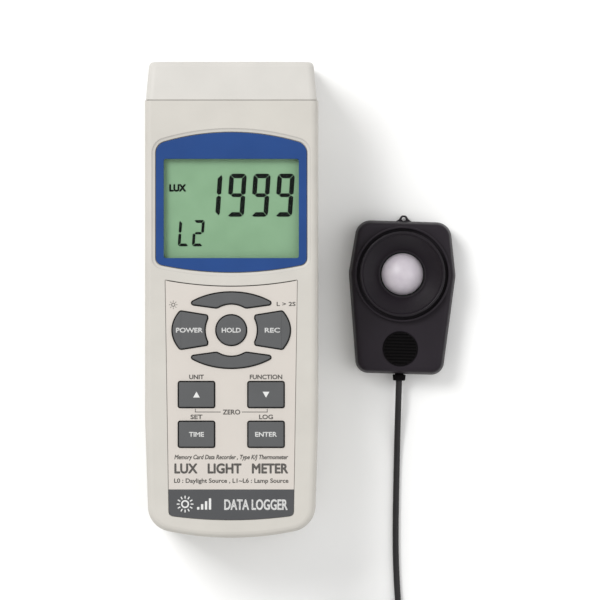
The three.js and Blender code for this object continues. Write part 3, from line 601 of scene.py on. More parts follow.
def circuit_green():
    """Solder-masked board: copper traces show through the mask as a paler net, with tinned pads on it."""
    shader = Shader("circuit_board")
    tracks = shader.add("TexBrick", {
        "Vector": shader.place(), "Scale": 260.0, "Mortar Size": 0.035,
        "Color1": (0, 0, 0, 1), "Color2": (0.15, 0.15, 0.15, 1), "Mortar": (1, 1, 1, 1),
    }).outputs["Color"]
    pads = shader.add("TexVoronoi", {"Vector": shader.place(), "Scale": 420.0, "Randomness": 0.35})
    spot = shader.ranged(pads.outputs["Distance"], 1, 0, 0.16, 0.2)
    mask = shader.mixed(tracks, shade("174a30"), shade("2f7a4c"))
    mask = shader.mixed(shader.drift(7, 3, 0, 0.4), mask, shade("123c27"))
    tone = shader.mixed(spot, mask, shade("b9b6a6"))
    normal = shader.bump(tracks, 0.6, 0.02)
    return shader.finish(tone, shader.drift(4, 3, 0.32, 0.48), {"Normal": normal, "Metallic": spot})


def cell_jacket():
    """Cell in a printed sleeve: dark over most of its length, copper-coloured near its end along X."""
    shader = Shader("cell_jacket")
    along = shader.add("SeparateXYZ", {0: shader.place()}).outputs["X"]
    copper = shader.ranged(along, 0, 1, 9.8 * MM, 10 * MM)
    tone = shader.mixed(copper, shade("26272b"), shade("b8752f"))
    tone = shader.mixed(shader.drift(6, 3, 0, 0.25), tone, shade("15161a"))
    normal = shader.bump(shader.noise(0.8, 3), 0.5, 0.01)
    return shader.finish(tone, shader.drift(3, 3, 0.24, 0.38), {"Metallic": 0.7, "Normal": normal})


CASE = surface("case_plastic", "d8d4cc", 0.55, relief=0.016)
CAP = surface("cap_plastic", "dddad4", 0.52, relief=0.016)
BLUE = surface("bezel_blue", "264b8a", 0.42, grain=0.25, relief=0.006, mottle=0.05, wear=0.2, sheen=0.18)
FILM = surface("overlay_film", "ded7cf", 0.48, grain=0.2, relief=0.005, mottle=0.015)
BAND = surface("overlay_band", "535456", 0.5, grain=0.2, relief=0.005, mottle=0.04)
KEY_GREY = surface("key_grey", "5f6061", 0.62, grain=0.22, relief=0.008, mottle=0.05, wear=0.2)
INK = surface("print_grey", "66635f", 0.6, grain=0.2, relief=0.004)
WHITE_INK = surface("print_white", "f0f0ee", 0.55, grain=0.2, relief=0.004)
DARK = surface("dark_plastic", "3a3b3d", 0.55, wear=0.3)
SENSOR_BLACK = surface("sensor_plastic", "2a252b", 0.48, relief=0.01, mottle=0.1, wear=0.04, sheen=0.13)
CUP_BLACK = surface("sensor_cup", "1f1a20", 0.36, relief=0.008, mottle=0.15, wear=0.04, sheen=0.22)
RUBBER = surface("black_rubber", "0a0809", 0.75, grain=0.2, relief=0.012, mottle=0.12, wear=0.03, sheen=0.08)
CORD_BLACK = surface("cord_jacket", "242223", 0.5, grain=0.3, relief=0.008, mottle=0.1)
LCD_GREEN = display_green()
LCD_INK = surface("lcd_ink", "0c120d", 0.7, grain=0.2, relief=0.002, mottle=0.02, edge=0.02, sheen=0.05)
PANE = clear_pane()
OPAL = opal()
WHITE = surface("white_plastic", "ebebe4", 0.45)
SILICONE = surface("silicone", "8a8c8e", 0.68, grain=0.5)
BOARD_GREEN = circuit_green()
JACKET = cell_jacket()
METAL = {"grain": 0.6, "relief": 0.006, "wear": 0.4, "sheen": 0.5, "metallic": 1.0}
STEEL = surface("steel", "c4c6ca", 0.28, mottle=0.06, **METAL)
BRASS = surface("brass", "b8943f", 0.3, mottle=0.08, **METAL)
YELLOW = surface("socket_yellow", "cfa52e", 0.45, mottle=0.06)
FLOOR = surface("floor", "f8f8f7", 0.7, grain=4, relief=0.02, mottle=0.004, wear=0, edge=0.5, gain=1.0)


# ---- cord, coil and plug

CORD_RADIUS = 1.2
# From inside the grommet along the floor to the coil, and from the coil up into the plug's boot.
CORD_RUN = [(64.7, -26, 5), (64.55, -31.6, 5), (64.32, -39, 4.75), (64.12, -46, 3.7), (63.95, -53, 2.4),
            (63.8, -60, 1.5), (63.6, -70, 1.25), (63.4, -80, 1.25), (63.3, -90, 1.25), (63.4, -100, 1.25),
            (63.8, -110, 1.3), (64.3, -118, 1.6), (64.7, -125, 1.9), (64.9, -130.2, 2)]
CORD_TAIL = [(39, -156.1, 9.5), (36, -156.05, 8.9), (32.5, -155.9, 7.4), (29.5, -155.8, 6.1),
             (27.3, -155.8, 5.7), (24, -155.8, 5.6)]

COIL_CENTRE = (48.4, -139.5)
COIL_RADII = (16.5, 11.5)       # of the outermost and innermost turn's middle
COIL_LAYERS = (2.05, 4.5, 6.95, 9.4)
SPIRAL_TURNS = 2.05             # turns side by side in one layer
CLIMB_TURNS = 0.35              # part of a turn from one layer up to the next
STEPS_PER_TURN = 48

PIN_CIRCLE = 2.8                # radius of the circle of contacts in the plug and its socket
PIN_ANGLES = [math.radians(-135 + 67.5 * i) for i in range(5)]
PIN_PLACES = [(PIN_CIRCLE * math.cos(angle), PIN_CIRCLE * math.sin(angle)) for angle in PIN_ANGLES]


def on_coil(radius, turns, z):
    """Place on a clockwise turn of the coil, some turns after its start."""
    angle = -2 * math.pi * turns
    return (COIL_CENTRE[0] + radius * math.cos(angle), COIL_CENTRE[1] + radius * math.sin(angle), z)


def coil_points():
    """Clockwise turns side by side, inwards in one layer and outwards in the next."""
    stages = []
    for i, z in enumerate(COIL_LAYERS):
        start, end = COIL_RADII[i % 2], COIL_RADII[1 - i % 2]
        stages.append((SPIRAL_TURNS, start, end, z, z))
        if i + 1 < len(COIL_LAYERS):
            stages.append((CLIMB_TURNS, end, end, z, COIL_LAYERS[i + 1]))
    points = []
    done = 0.0
    for turns, start, end, low, high in stages:
        steps = round(turns * STEPS_PER_TURN)
        for k in range(steps):
            t = k / steps
            rise = (high - low) * t * t * (3 - 2 * t)
            points.append(on_coil(start + (end - start) * t, done + turns * t, low + rise))
        done += turns
    return [*points, on_coil(end, done, high)]


def make_cord(with_pieces):
    """One curve from inside the sensor's grommet, through the coil, into the plug's boot."""
    turns = coil_points()
    route = smooth([*CORD_RUN, turns[0]])[:-1] + turns[:-1] + smooth([turns[-1], *CORD_TAIL])
    data = bpy.data.curves.new("sensor_cord", "CURVE")
    data.dimensions = "3D"
    data.bevel_depth = CORD_RADIUS * MM
    data.bevel_resolution = 5
    data.use_fill_caps = True
    spline = data.splines.new("POLY")
    spline.points.add(len(route) - 1)
    for point, place in zip(spline.points, route):
        point.co = (*(Vector(place) * MM), 1)
    data.materials.append(CORD_BLACK)
    item = bpy.data.objects.new("sensor_cord", data)
    bpy.context.collection.objects.link(item)
    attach(item, "sensor")
    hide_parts("cord_run", "cord_coil", "cord_tail")


def make_tie():
    """Strap around the turns, on the side of the coil that faces the meter."""
    low, high = box_of("cord_tie")
    near, far = 9.25, 18.1      # the strap's inner faces, from the coil's middle
    width, thickness = 5, 0.6
    middle, half = (near + far) / 2, (far - near) / 2
    rise, half_rise = (high.z + low.z) / 2, (high.z - low.z) / 2
    strap = pillow(rectangle(half + thickness, half_rise, 1.8, middle, rise), -width / 2, width / 2)
    hole = slab(rectangle(half, half_rise - thickness, 1.3, middle, rise), -width, width)
    tab_outline = rectangle(1.9, 0.28, 0.25, middle, high.z - 0.35, 30)
    tab = pillow(tab_outline, -width / 2 + 0.4, width / 2 + 1.2, 0.1, 0.1)
    place = Matrix.Translation((*COIL_CENTRE, 0)) @ turn(135, "Z") @ turn(90, "X")
    mesh = placed(merged([carved(strap, hole), tab]), place)
    return piece("coil_tie", mesh, "sensor", [RUBBER], ["cord_tie"])


def along_x(mesh, x, y, z):
    """Turns a mesh of revolution so that its axis runs towards -X from (x, y, z)."""
    return placed(mesh, Matrix.Translation((x, y, z)) @ turn(-90, "Y"))


def groove(start, before, floor, after, slope, fillet):
    """Profile corners of a ring-shaped groove: the radius before it, on its floor and after it."""
    return [(before, start, fillet), (floor, start + slope, fillet), (floor, start + 1, fillet),
            (after, start + 1 + slope, fillet)]


def make_plug():
    """Boot and grip in one moulding, metal sleeve, and the insulator with its five pins inside it."""
    low, high = box_of("plug_grip")
    y, z = middle_of("plug_grip").yz
    radius, length, boot = (high.z - low.z) / 2, high.x - low.x, 11
    corners = [(0, 0, 0), (1.9, 0, 0.3), (2.1, 2.5, 0)]
    for i in range(3):          # slots that let the boot bend
        corners += groove(2.5 + i * 2.4, 2.2 + i * 0.15, 1.7, 2.3 + i * 0.15, 0.25, 0.1)
    corners += [(2.8, boot - 1, 0.6), (radius - 0.4, boot + 0.4, 0.8), (radius, boot + 2, 0.5)]
    for i in range(6):          # finger rings around the grip
        corners += groove(boot + 4 + i * 2.6, radius, radius - 0.45, radius, 0.35, 0.15)
    corners += [(radius, length, 0.6), (0, length, 0)]
    grip = along_x(lathe(corners), high.x, y, z)
    low, high = box_of("plug_shell")
    outer, depth = (high.z - low.z) / 2, high.x - low.x
    inner = outer - 0.5
    sleeve = lathe([(0, 0, 0), (outer, 0, 0.15), (outer, 1.6, 0.1), (outer - 0.2, 1.8, 0.1),
                    (outer - 0.2, 2.4, 0.1), (outer, 2.6, 0.1), (outer, depth, 0.2), (inner, depth, 0.15),
                    (inner, 1, 0.2), (0, 1, 0)])
    disc = pillow(circle(0, 0, inner - 0.15, 64), 1.1, 3.2, 0.1, 0.2)
    pins = []
    for across, up in PIN_PLACES:
        start = Vector((high.x - 2.5, y + across, z + up))
        pins.append(rod(start, start - Vector((4.6, 0, 0)), 0.42, 24))
    return [
        piece("plug_grip_fine", grip, "sensor", [RUBBER], ["plug_grip"]),
        piece("plug_sleeve", along_x(sleeve, high.x, y, z), "sensor", [STEEL], ["plug_shell"]),
        piece("plug_insulator", along_x(disc, high.x, y, z), "sensor", [DARK]),
        piece("plug_pins", merged(pins), "sensor", [BRASS]),
    ]


# ---- outlines of the meter

TAPER_Y = -45                   # where the sides begin to draw in
FOOT_HALF_WIDTH = 32.2
CORNER_RADIUS = 10
BULGE_RADIUS = 118              # of the bottom edge

BEZEL_TOP_RADIUS, BEZEL_TOP_CORNER = 92, 4.6
BEZEL_BOTTOM_RADIUS, BEZEL_BOTTOM_CORNER = 131, 3
BEZEL_FLOOR = BEZEL_LOW.z - 0.15
FILM_FLOOR = FILM_LOW.z - 0.15
FILM_BULGE = 169
BAND_TOP = -72.1                # where the dark band printed on the film begins
DISPLAY_Y = middle_of("lcd_glass").y
WINDOW_HALF = (25.75, 18.9)     # visible part of the display

RING_Y = middle_of("key_hold").y
RING_HALF = (22.8, 14.8)        # half-axes of the oval ring of keys
HUB_RADIUS = 9.75
HOLD_RADIUS = 6.1
CRESCENT_EDGE = (7.38, 0.138)   # height at the middle and slope of the crescents' inner edges
SIDE_EDGE = (4.5, 0.16)         # the same for the side keys' upper and lower edges
KEY_CORNER = 0.95
KEY_INSET = 0.45                # how much narrower a key is at its top than the way it moves in


def bulging_end(side, end, sign, radius, corner, inset=0.0, steps=12):
    """Upper (sign 1) or lower (-1) end of an outline: a bulge between two round corners, less an inset."""
    corner_x = side - corner
    centre_y = end - sign * radius
    corner_y = centre_y + sign * math.sqrt((radius - corner) ** 2 - corner_x ** 2)
    lean = math.degrees(math.asin(corner_x / (radius - corner)))
    pole = 90 * sign
    return [*arc(sign * corner_x, corner_y, corner - inset, pole - 90, pole - lean, steps),
            *arc(0, centre_y, radius - inset, pole - lean, pole + lean, 24)[1:-1],
            *arc(-sign * corner_x, corner_y, corner - inset, pole + lean, pole + 90, steps)]


def case_outline(inset, top=FRONT_HIGH.y):
    """Both case shells: straight sides and a taper to the bulging bottom. The top end has no inset."""
    side = FRONT_HIGH.x - inset
    return [Vector((side, top)), Vector((-side, top)), Vector((-side, TAPER_Y)),
            *bulging_end(FOOT_HALF_WIDTH, FRONT_LOW.y, -1, BULGE_RADIUS, CORNER_RADIUS, inset, 20),
            Vector((side, TAPER_Y))]


def bezel_outline():
    """Pocket around the display: straight sides between bulging ends."""
    side = BEZEL_HIGH.x + GAP
    return [*bulging_end(side, BEZEL_HIGH.y + GAP, 1, BEZEL_TOP_RADIUS, BEZEL_TOP_CORNER),
            *bulging_end(side, BEZEL_LOW.y - GAP, -1, BEZEL_BOTTOM_RADIUS, BEZEL_BOTTOM_CORNER)]


def film_outline():
    """Recess of the printed film: its top edge follows the bezel, its bottom edge bulges."""
    top_x, bottom_x = 25.3, 23.9
    hollow_y = BEZEL_LOW.y - GAP + BEZEL_BOTTOM_RADIUS
    hollow = hollow_y - 5.5
    bulge_y = FILM_LOW.y - GAP + FILM_BULGE
    top_lean = math.degrees(math.asin(top_x / hollow))
    bottom_lean = math.degrees(math.asin(bottom_x / FILM_BULGE))
    top = arc(0, hollow_y, hollow, 270 + top_lean, 270 - top_lean, 24)
    bottom = arc(0, bulge_y, FILM_BULGE, 270 - bottom_lean, 270 + bottom_lean, 24)
    return softened([top, [top[-1], bottom[0]], bottom, [bottom[-1], top[0]]], [0.5, 1.7, 1.7, 0.5])


def meeting(half_x, half_y, edge, slope):
    """Parameter of an ellipse's point on the line y = edge + slope * x, on its right side."""
    a = 1 / half_x ** 2 + (slope / half_y) ** 2
    b = 2 * edge * slope / half_y ** 2
    c = (edge / half_y) ** 2 - 1
    x = (-b + math.sqrt(b * b - 4 * a * c)) / (2 * a)
    return math.atan2((edge + slope * x) / half_y, x / half_x)


def oval(half_x, half_y, start, end, steps):
    """Part of an ellipse between two values of its parameter."""
    angles = [start + (end - start) * i / steps for i in range(steps + 1)]
    return [Vector((half_x * math.cos(angle), half_y * math.sin(angle))) for angle in angles]


def ring_key(outer, inner, softness):
    """Outline of a key between part of the ring's ellipse and part of the circle around the hold key."""
    sides = [outer, straight(outer[-1], inner[0]), inner, straight(inner[-1], outer[0])]
    return blunted(softened(sides, softness), KEY_CORNER)


def upper_crescent():
    start, hub = meeting(*RING_HALF, *CRESCENT_EDGE), meeting(HUB_RADIUS, HUB_RADIUS, *CRESCENT_EDGE)
    outer = oval(*RING_HALF, start, math.pi - start, 48)
    inner = oval(HUB_RADIUS, HUB_RADIUS, math.pi - hub, hub, 24)
    return ring_key(outer, inner, [0.2, 0.9, 0.9, 0.2])


def right_side_key():
    start, hub = meeting(*RING_HALF, *SIDE_EDGE), meeting(HUB_RADIUS, HUB_RADIUS, *SIDE_EDGE)
    outer = oval(*RING_HALF, -start, start, 30)
    inner = oval(HUB_RADIUS, HUB_RADIUS, hub, -hub, 20)
    return ring_key(outer, inner, [0.75] * 4)


def mirrored(points, axis):
    """Outline mirrored in x (axis 0) or y (axis 1), still counter-clockwise."""
    flip = Vector((-1, 1)) if axis == 0 else Vector((1, -1))
    return [point * flip for point in points][::-1]


def shifted(points, x, y):
    return [point + Vector((x, y)) for point in points]


def key_outlines():
    """Outline of every key's top, by the name of its CAD node."""
    crescent, side = upper_crescent(), right_side_key()
    outlines = {
        "key_hold": circle(0, RING_Y, HOLD_RADIUS),
        "key_rec": shifted(side, 0, RING_Y),
        "key_power": shifted(mirrored(side, 0), 0, RING_Y),
        "key_crescent_upper": shifted(crescent, 0, RING_Y),
        "key_crescent_lower": shifted(mirrored(crescent, 1), 0, RING_Y),
    }
    flange = 0.8
    for name in ("key_unit", "key_function", "key_time", "key_enter"):
        middle = middle_of(name)
        half = box_of(name)[1] - middle
        outlines[name] = rectangle(half.x - flange, half.y - flange, KEY_CORNER, middle.x, middle.y)
    return outlines


BEZEL_OUTLINE = bezel_outline()
FILM_OUTLINE = film_outline()
KEY_OUTLINES = key_outlines()


# ---- meter casing

SLOT_HALF_X = 12.3              # memory-card slot in the bottom end
SLOT_Z = (34, 36.7)
SLOT_END_Y = -84
DISPLAY_WAY_HALF = (27, 20.2)   # opening for the display in the front shell
BOSS_RADIUS, BORE_RADIUS = 3.1, 1.55


def make_front():
    """Front shell with the pockets for bezel and film, the ways of keys and card, and four screw bosses."""
    levels = smooth([(FRONT_LOW.z, 0), (44, 0.35), (45.9, 0.75), (47, 1.5), (FACE_Z, 2.6)])
    shell = loft([ring(case_outline(inset), z) for z, inset in [*levels, (FACE_Z, 2.9)]])
    ceiling = FACE_Z - WALL
    cavity = slab(case_outline(WALL + 0.35, FRONT_HIGH.y - WALL), FRONT_LOW.z - 1, ceiling)
    rim = [(BEZEL_FLOOR, 0), (BEZEL_HIGH.z - 0.15, 0), (BEZEL_HIGH.z, 0.4), (BEZEL_HIGH.z + 0.1, 0.85),
           (FACE_Z - 0.25, 1.15), (FACE_Z - 0.06, 1.3), (FACE_Z, 1.5), (FACE_Z + 1, 1.5)]
    bezel_pocket = stacked(BEZEL_OUTLINE, rim)
    display_way = slab(rectangle(*DISPLAY_WAY_HALF, 1, 0, DISPLAY_Y), ceiling - 1, FACE_Z)
    film_pocket = opening(FILM_OUTLINE, FILM_FLOOR, FACE_Z, 0.18)
    key_ways = [slab(grown(outline, GAP), ceiling - 1, FACE_Z + 1) for outline in KEY_OUTLINES.values()]
    card_way = block((-SLOT_HALF_X, FRONT_LOW.y - 2, SLOT_Z[0]), (SLOT_HALF_X, SLOT_END_Y, SLOT_Z[1]))
    mesh = carved(shell, cavity, bezel_pocket, display_way, film_pocket, *key_ways, card_way)
    bosses = [middle_of(f"case_screw_{number}").xy for number in range(1, 5)]
    bore_end = 40
    mesh = united(mesh, *[slab(circle(x, y, BOSS_RADIUS, 40), FRONT_LOW.z, ceiling + 0.4) for x, y in bosses])
    mesh = carved(mesh, *[slab(circle(x, y, BORE_RADIUS, 32), FRONT_LOW.z - 1, bore_end) for x, y in bosses])
    piece("front_shell", mesh, "meter", [CASE], ["front_case"])


def make_cap():
    """Cap over the top end, lofted from sections (-y, half-width, back, front) and then stood upright."""
    low, high = box_of("top_cap")
    end, joint = -high.y, -low.y
    sections = smooth([(end, 29.6, 3.2, 43.8), (end + 0.3, 30.6, 2.2, 44.8), (end + 1, 31.2, 1.4, 45.5),
                       (end + 2, 31.5, 1, 46)])
    sections += [(joint - 0.05, 32.6, 0.32, 47.18), (joint + 0.18, 32.4, 0.52, 46.98)]
    shell = loft([ring(rectangle(half, (front - back) / 2, 3, 0, (front + back) / 2), z)
                  for z, half, back, front in sections])
    shell = carved(shell, block((-29.6, 2.8, end + WALL), (29.6, 44, joint + 1)))
    probe, flat = middle_of("probe_socket"), middle_of("thermocouple_socket")
    ways = [circle(probe.x, probe.z, 6.9, 64), rectangle(8.5, 4, 0.6, flat.x, flat.z)]
    inside = -80
    mesh = carved(shell, *[opening(way, inside, end, 0.25) for way in ways])
    piece("end_cap", placed(mesh, turn(90, "X")), "meter", [CAP], ["top_cap"])


def make_bezel():
    plate = pillow(grown(BEZEL_OUTLINE, -GAP), BEZEL_LOW.z, BEZEL_HIGH.z, 0.1, 0.22)
    window = opening(rectangle(*WINDOW_HALF, 0.8, 0, DISPLAY_Y), BEZEL_LOW.z - 1, BEZEL_HIGH.z, 0.18)
    piece("bezel_plate", carved(plate, window), "meter", [BLUE], ["display_bezel"])


def make_film():
    """Printed film: its key holes, and the dark band as its own part of the surface."""
    plate = pillow(grown(FILM_OUTLINE, -0.18), FILM_LOW.z, FILM_HIGH.z, 0.03, 0.06)
    mesh = carved(plate, *[slab(grown(outline, 0.05), FILM_LOW.z - 1, FILM_HIGH.z + 1)
                           for outline in KEY_OUTLINES.values()])
    shape = bmesh.new()
    shape.from_mesh(mesh)
    parts = [*shape.verts, *shape.edges, *shape.faces]
    bmesh.ops.bisect_plane(shape, geom=parts, plane_co=(0, BAND_TOP * MM, 0), plane_no=(0, 1, 0))
    for face in shape.faces:
        face.material_index = int(face.calc_center_median().y < BAND_TOP * MM)
    shape.to_mesh(mesh)
    shape.free()
    piece("printed_film", mesh, "meter", [FILM, BAND], ["keypad_overlay"])


# ---- display

def digit(segments, x, y, width, height, stroke):
    """Outlines of the named segments (a to g) of one leaning seven-segment figure around (x, y)."""
    lean, gap = math.tan(math.radians(4)), 0.16
    middle, corner, thin = height / 2, stroke * 0.9, stroke * 0.42
    upper = arc(corner, height - corner, corner, 135, 90, 4)
    top = [*[Vector((width - p.x, p.y)) for p in upper], Vector((width - corner, height)), *upper[::-1],
           Vector((stroke, height - stroke)), Vector((width - stroke, height - stroke))]
    side = [*arc(corner, height - corner, corner, 180, 135, 4), Vector((stroke, height - stroke)),
            Vector((stroke, middle + thin)), Vector((stroke * 0.55, middle + 0.02)),
            Vector((0, middle + stroke * 0.3))]
    near, far = stroke * 0.55, stroke
    bar = [Vector((near, middle)), Vector((far, middle - thin)), Vector((width - far, middle - thin)),
           Vector((width - near, middle)), Vector((width - far, middle + thin)), Vector((far, middle + thin))]
    across, over = Vector((width, 0)), Vector((0, height))
    shapes = {
        "a": top,
        "b": [across + p * Vector((-1, 1)) for p in side],
        "c": [across + over - p for p in side],
        "d": [over + p * Vector((1, -1)) for p in top],
        "e": [over + p * Vector((1, -1)) for p in side],
        "f": side,
        "g": bar,
    }
    outlines = []
    for name in segments:
        points = shapes[name]
        points = [p for i, p in enumerate(points) if (p - points[i - 1]).length > 1e-4]
        area = sum(a.x * b.y - b.x * a.y for a, b in zip(points, [*points[1:], points[0]]))
        points = grown(points if area > 0 else points[::-1], -gap / 2)
        left, bottom = x - width / 2, y - middle
        outlines.append([Vector((left + p.x + (p.y - middle) * lean, bottom + p.y)) for p in points])
    return outlines


def make_display():
    """The window, the green layer behind it and the dark segments on that."""
    glass_z = box_of("lcd_glass")[1].z
    low, high = glass_z + 0.03, glass_z + 0.07
    outlines = []
    for segments, x in (("bc", -7.2), ("abcdfg", 2.05), ("abcdfg", 11.2), ("abcdfg", 20.4)):
        outlines += digit(segments, x, DISPLAY_Y + 5.1, 6.75, 16.6, 1.9)
    for segments, x in (("def", -18.0), ("abged", -12.6)):
        outlines += digit(segments, x, DISPLAY_Y - 9.4, 4.45, 10.2, 1.25)
    marks = [slab(outline, low, high) for outline in outlines]
    marks.append(lettering("LUX", -20.5, DISPLAY_Y + 7.9, 2.9, 6.4, low, 0.4))
    piece("lcd_segments", merged(marks), "meter", [LCD_INK])
    refined("lcd_glass", "meter", LCD_GREEN, 0.1)
    refined("display_window", "meter", PANE, 0.12)


# ---- keys and printing

def make_key(node):
    """Key with a rounded top on a flange, and its own white sign."""
    low, high = box_of(node)
    flange, flange_top, edge = 0.8, 45, 0.35
    levels = [(low.z, flange - 0.1), (low.z + 0.1, flange), (flange_top - 0.1, flange),
              (flange_top, flange - 0.1), (flange_top, -KEY_INSET)]
    levels += [(high.z - edge + rise, -KEY_INSET - inset) for inset, rise in quarter(edge, 5)]
    levels.append((high.z, -KEY_INSET - edge - FLAT_BORDER))
    body = stacked(KEY_OUTLINES[node], levels)
    middle, face = middle_of(node), high.z - 0.01
    signs = {
        "key_hold": ("HOLD", 0, 7.3),
        "key_power": ("POWER", -1, 10.2),
        "key_rec": ("REC", 0.7, 5.8),
        "key_time": ("TIME", 0, 5.7),
        "key_enter": ("ENTER", 0, 8.3),
    }
    meshes = [body]
    if node in signs:
        text, shift, width = signs[node]
        meshes.append(lettering(text, middle.x + shift, middle.y, 1.85, width, face, 0.16))
    elif node in ("key_unit", "key_function"):
        arrow = [Vector((-1.28, -1.1)), Vector((1.28, -1.1)), Vector((0, 1.15))]
        if node == "key_function":
            arrow = mirrored(arrow, 1)
        meshes.append(slab(shifted(arrow, middle.x, middle.y), face, face + PRINT))
    piece(f"{node}_cap", together(*meshes), node, [KEY_GREY, WHITE_INK], [node])


def stroke_between(start, end, width, z):
    """Printed straight line."""
    start, end = Vector(start), Vector(end)
    side = (end - start).normalized().orthogonal() * width / 2
    return slab([start - side, start + side, end + side, end - side][::-1], z, z + PRINT)


def sun(x, y, size, z, rays=8):
    """Printed ring with rays, the usual sign of a lamp or of a bright display."""
    disc = slab(circle(x, y, size * 0.24, 40), z, z + PRINT)
    hole = slab(circle(x, y, size * 0.15, 40), z - 1, z + 1)
    starts, ends = circle(x, y, size * 0.33, rays), circle(x, y, size * 0.5, rays)
    lines = [stroke_between(start, end, size * 0.07, z) for start, end in zip(starts, ends)]
    return [carved(disc, hole), *lines]


def make_printing():
    """Grey words and signs on the film, and the white ones on its dark band."""
    z = FILM_HIGH.z - 0.005
    unit, time = middle_of("key_unit"), middle_of("key_time")
    left, right = unit.x, middle_of("key_function").x
    zero_y, line = -42.6, 0.28
    key_words = (("UNIT", left, unit.y + 6.75, 5.6), ("FUNCTION", right, unit.y + 6.75, 12.4),
                 ("SET", left, time.y + 6.65, 4.6), ("LOG", right, time.y + 6.65, 5.3))
    grey = [lettering(text, x, y, 1.75, width, z, 0.14) for text, x, y, width in key_words]
    grey += [
        lettering("ZERO", 0.1, zero_y, 1.9, 6.7, z, 0.14),
        lettering("L > 2S", 20.9, RING_Y + 10, 1.6, 7.2, z, 0.1),
        lettering("Memory Card Data Recorder , Type K/J Thermometer", 0, -59.75, 1.75, 43.4, z, 0.12, 0.25),
        lettering("LUX   LIGHT   METER", 0, -64.1, 3.9, 43.4, z, 0.36),
        lettering("L0 : Daylight Source , L1~L6 : Lamp Source", 0, -68.75, 1.7, 43.6, z, 0.12),
    ]
    for side, edge in ((-1, left), (1, right)):
        x = edge + side * 0.45
        grey.append(stroke_between((side * 4, zero_y), (x, zero_y), line, z))
        grey.append(stroke_between((x, zero_y - line / 2), (x, unit.y - 5.5), line, z))
    grey += sun(-22.1, RING_Y + 9.7, 3.2, z)
    piece("film_printing", merged(grey), "meter", [INK])
    white = [lettering("DATA LOGGER", 9.4, -77.9, 4.1, 24.2, z, 0.3)]
    white += sun(-17.6, -77.7, 6.4, z, 12)
    for i in range(4):
        half = 0.5 + 0.55 * i
        white.append(slab(rectangle(0.45, half, 0.1, -12.6 + i * 1.5, half - 79.8, 45), z, z + PRINT))
    piece("band_printing", merged(white), "meter", [WHITE_INK])


# ---- screws, back and power

def screw_mesh(x, y, head_low, head_high, tip, head_radius, shaft_radius):
    """Pan-head screw, head down, with a cross recess and ridges for the thread."""
    corners = [(0, head_low, 0), (head_radius, head_low, 0.4), (head_radius, head_high, 0.15),
               (shaft_radius, head_high, 0.1)]
    pitch = shaft_radius * 0.7
    z = head_high + 1.5 * pitch
    while z + pitch < tip - shaft_radius:
        corners += [(shaft_radius, z, 0), (shaft_radius * 0.8, z + pitch / 2, 0)]
        z += pitch
    corners += [(shaft_radius, z, 0), (0, tip, 0)]
    depth, half = (head_high - head_low) * 0.55, head_radius * 0.62
    narrow = 0.13 * half + 0.12
    bars = [slab(rectangle(*halves, 0.05), head_low - 1, head_low + depth)
            for halves in ((half, narrow), (narrow, half))]
    return placed(carved(lathe(corners, 48), *bars), Matrix.Translation((x, y, 0)))


def make_screws():
    """Every screw: its node, its body, the height of its head and the radius of its shaft."""
    screws = [(f"case_screw_{i}", "meter", 1.8, 1.25) for i in range(1, 5)]
    screws.append(("battery_cover_screw", "battery_cover", 0.9, 1.25))
    screws += [(f"sensor_screw_{i}", "sensor", 1.1, 0.8) for i in (1, 2)]
    for node, body, head, shaft_radius in screws:
        low, high = box_of(node)
        radii = (high.x - low.x) / 2, shaft_radius
        mesh = screw_mesh(*middle_of(node).xy, low.z, low.z + head, high.z, *radii)
        piece(f"{node}_fine", mesh, body, [STEEL], [node])


def make_stand():
    """Fold-out stand: a leaf with a window, grip grooves at its tip, and a knuckle with its two pins."""
    low, high = box_of("tilt_stand")
    hinge_y, hinge_z, half_x = 70.6, 1.9, 15
    outline = rounded([(half_x, hinge_y, 0), (-half_x, hinge_y, 0), (-half_x, low.y, 3), (half_x, low.y, 3)])
    tools = [opening(rectangle(8.5, 10, 2, 0, 48), high.z + 1, low.z, 0.3),
             opening(rectangle(half_x - 3, 2.6, 1, 0, 63.5), low.z + 0.5, low.z, 0.2)]
    first, width, depth = low.y + 2.5, 0.8, 0.35
    tools += grooves(5, (0, 1.8, 0), (-9, first, low.z - 1), (9, first + width, low.z + depth))
    leaf = carved(pillow(outline, low.z, high.z, 0.35, 0.35), *tools)
    knuckle = rod((-half_x, hinge_y, hinge_z), (half_x, hinge_y, hinge_z), hinge_z - low.z)
    pins = rod((low.x, hinge_y, hinge_z), (high.x, hinge_y, hinge_z), 0.75)
    piece("stand_leaf", united(leaf, knuckle, pins), "tilt_stand", [CASE], ["tilt_stand"])


def make_battery_cover():
    """Cover with a screw recess in its tongue, grip grooves and the sign for the cells' places."""
    low, high = box_of("battery_cover")
    tongue_x, edge_y, plate_top = 6, -27.4, 1.9
    outline = rectangle(high.x, (edge_y - low.y) / 2, 1.2, 0, (edge_y + low.y) / 2)
    plate = pillow(outline, low.z, plate_top, 0.3, 0.15)
    root_y = edge_y - 3         # the tongue starts inside the plate
    outline = rounded([(tongue_x, high.y, 2), (-tongue_x, high.y, 2),
                       (-tongue_x, root_y, 0), (tongue_x, root_y, 0)])
    tongue = pillow(outline, low.z, high.z, 0.3, 0.15)
    screw_y = middle_of("battery_cover_screw").y
    tools = [opening(circle(0, screw_y, 2.6, 48), 1.7, low.z, 0.2), slab(circle(0, screw_y, 1.55, 32), 0, 5)]
    for side in (-1, 1):
        for i in range(6):
            y = low.y + 8 + i * 2
            tools.append(opening(rectangle(5, 0.4, 0.35, side * 18, y, 30), low.z + 0.4, low.z, 0.12))
    first_cell_y, cell_pitch = -66.5, 15
    for row in range(3):
        outline = rectangle(8.5, 2.2, 0.6, 0, first_cell_y + cell_pitch * row)
        tools.append(opening(outline, low.z + 0.15, low.z, 0.05))
    mesh = carved(united(plate, tongue), *tools)
    piece("battery_door", mesh, "battery_cover", [CASE], ["battery_cover"])


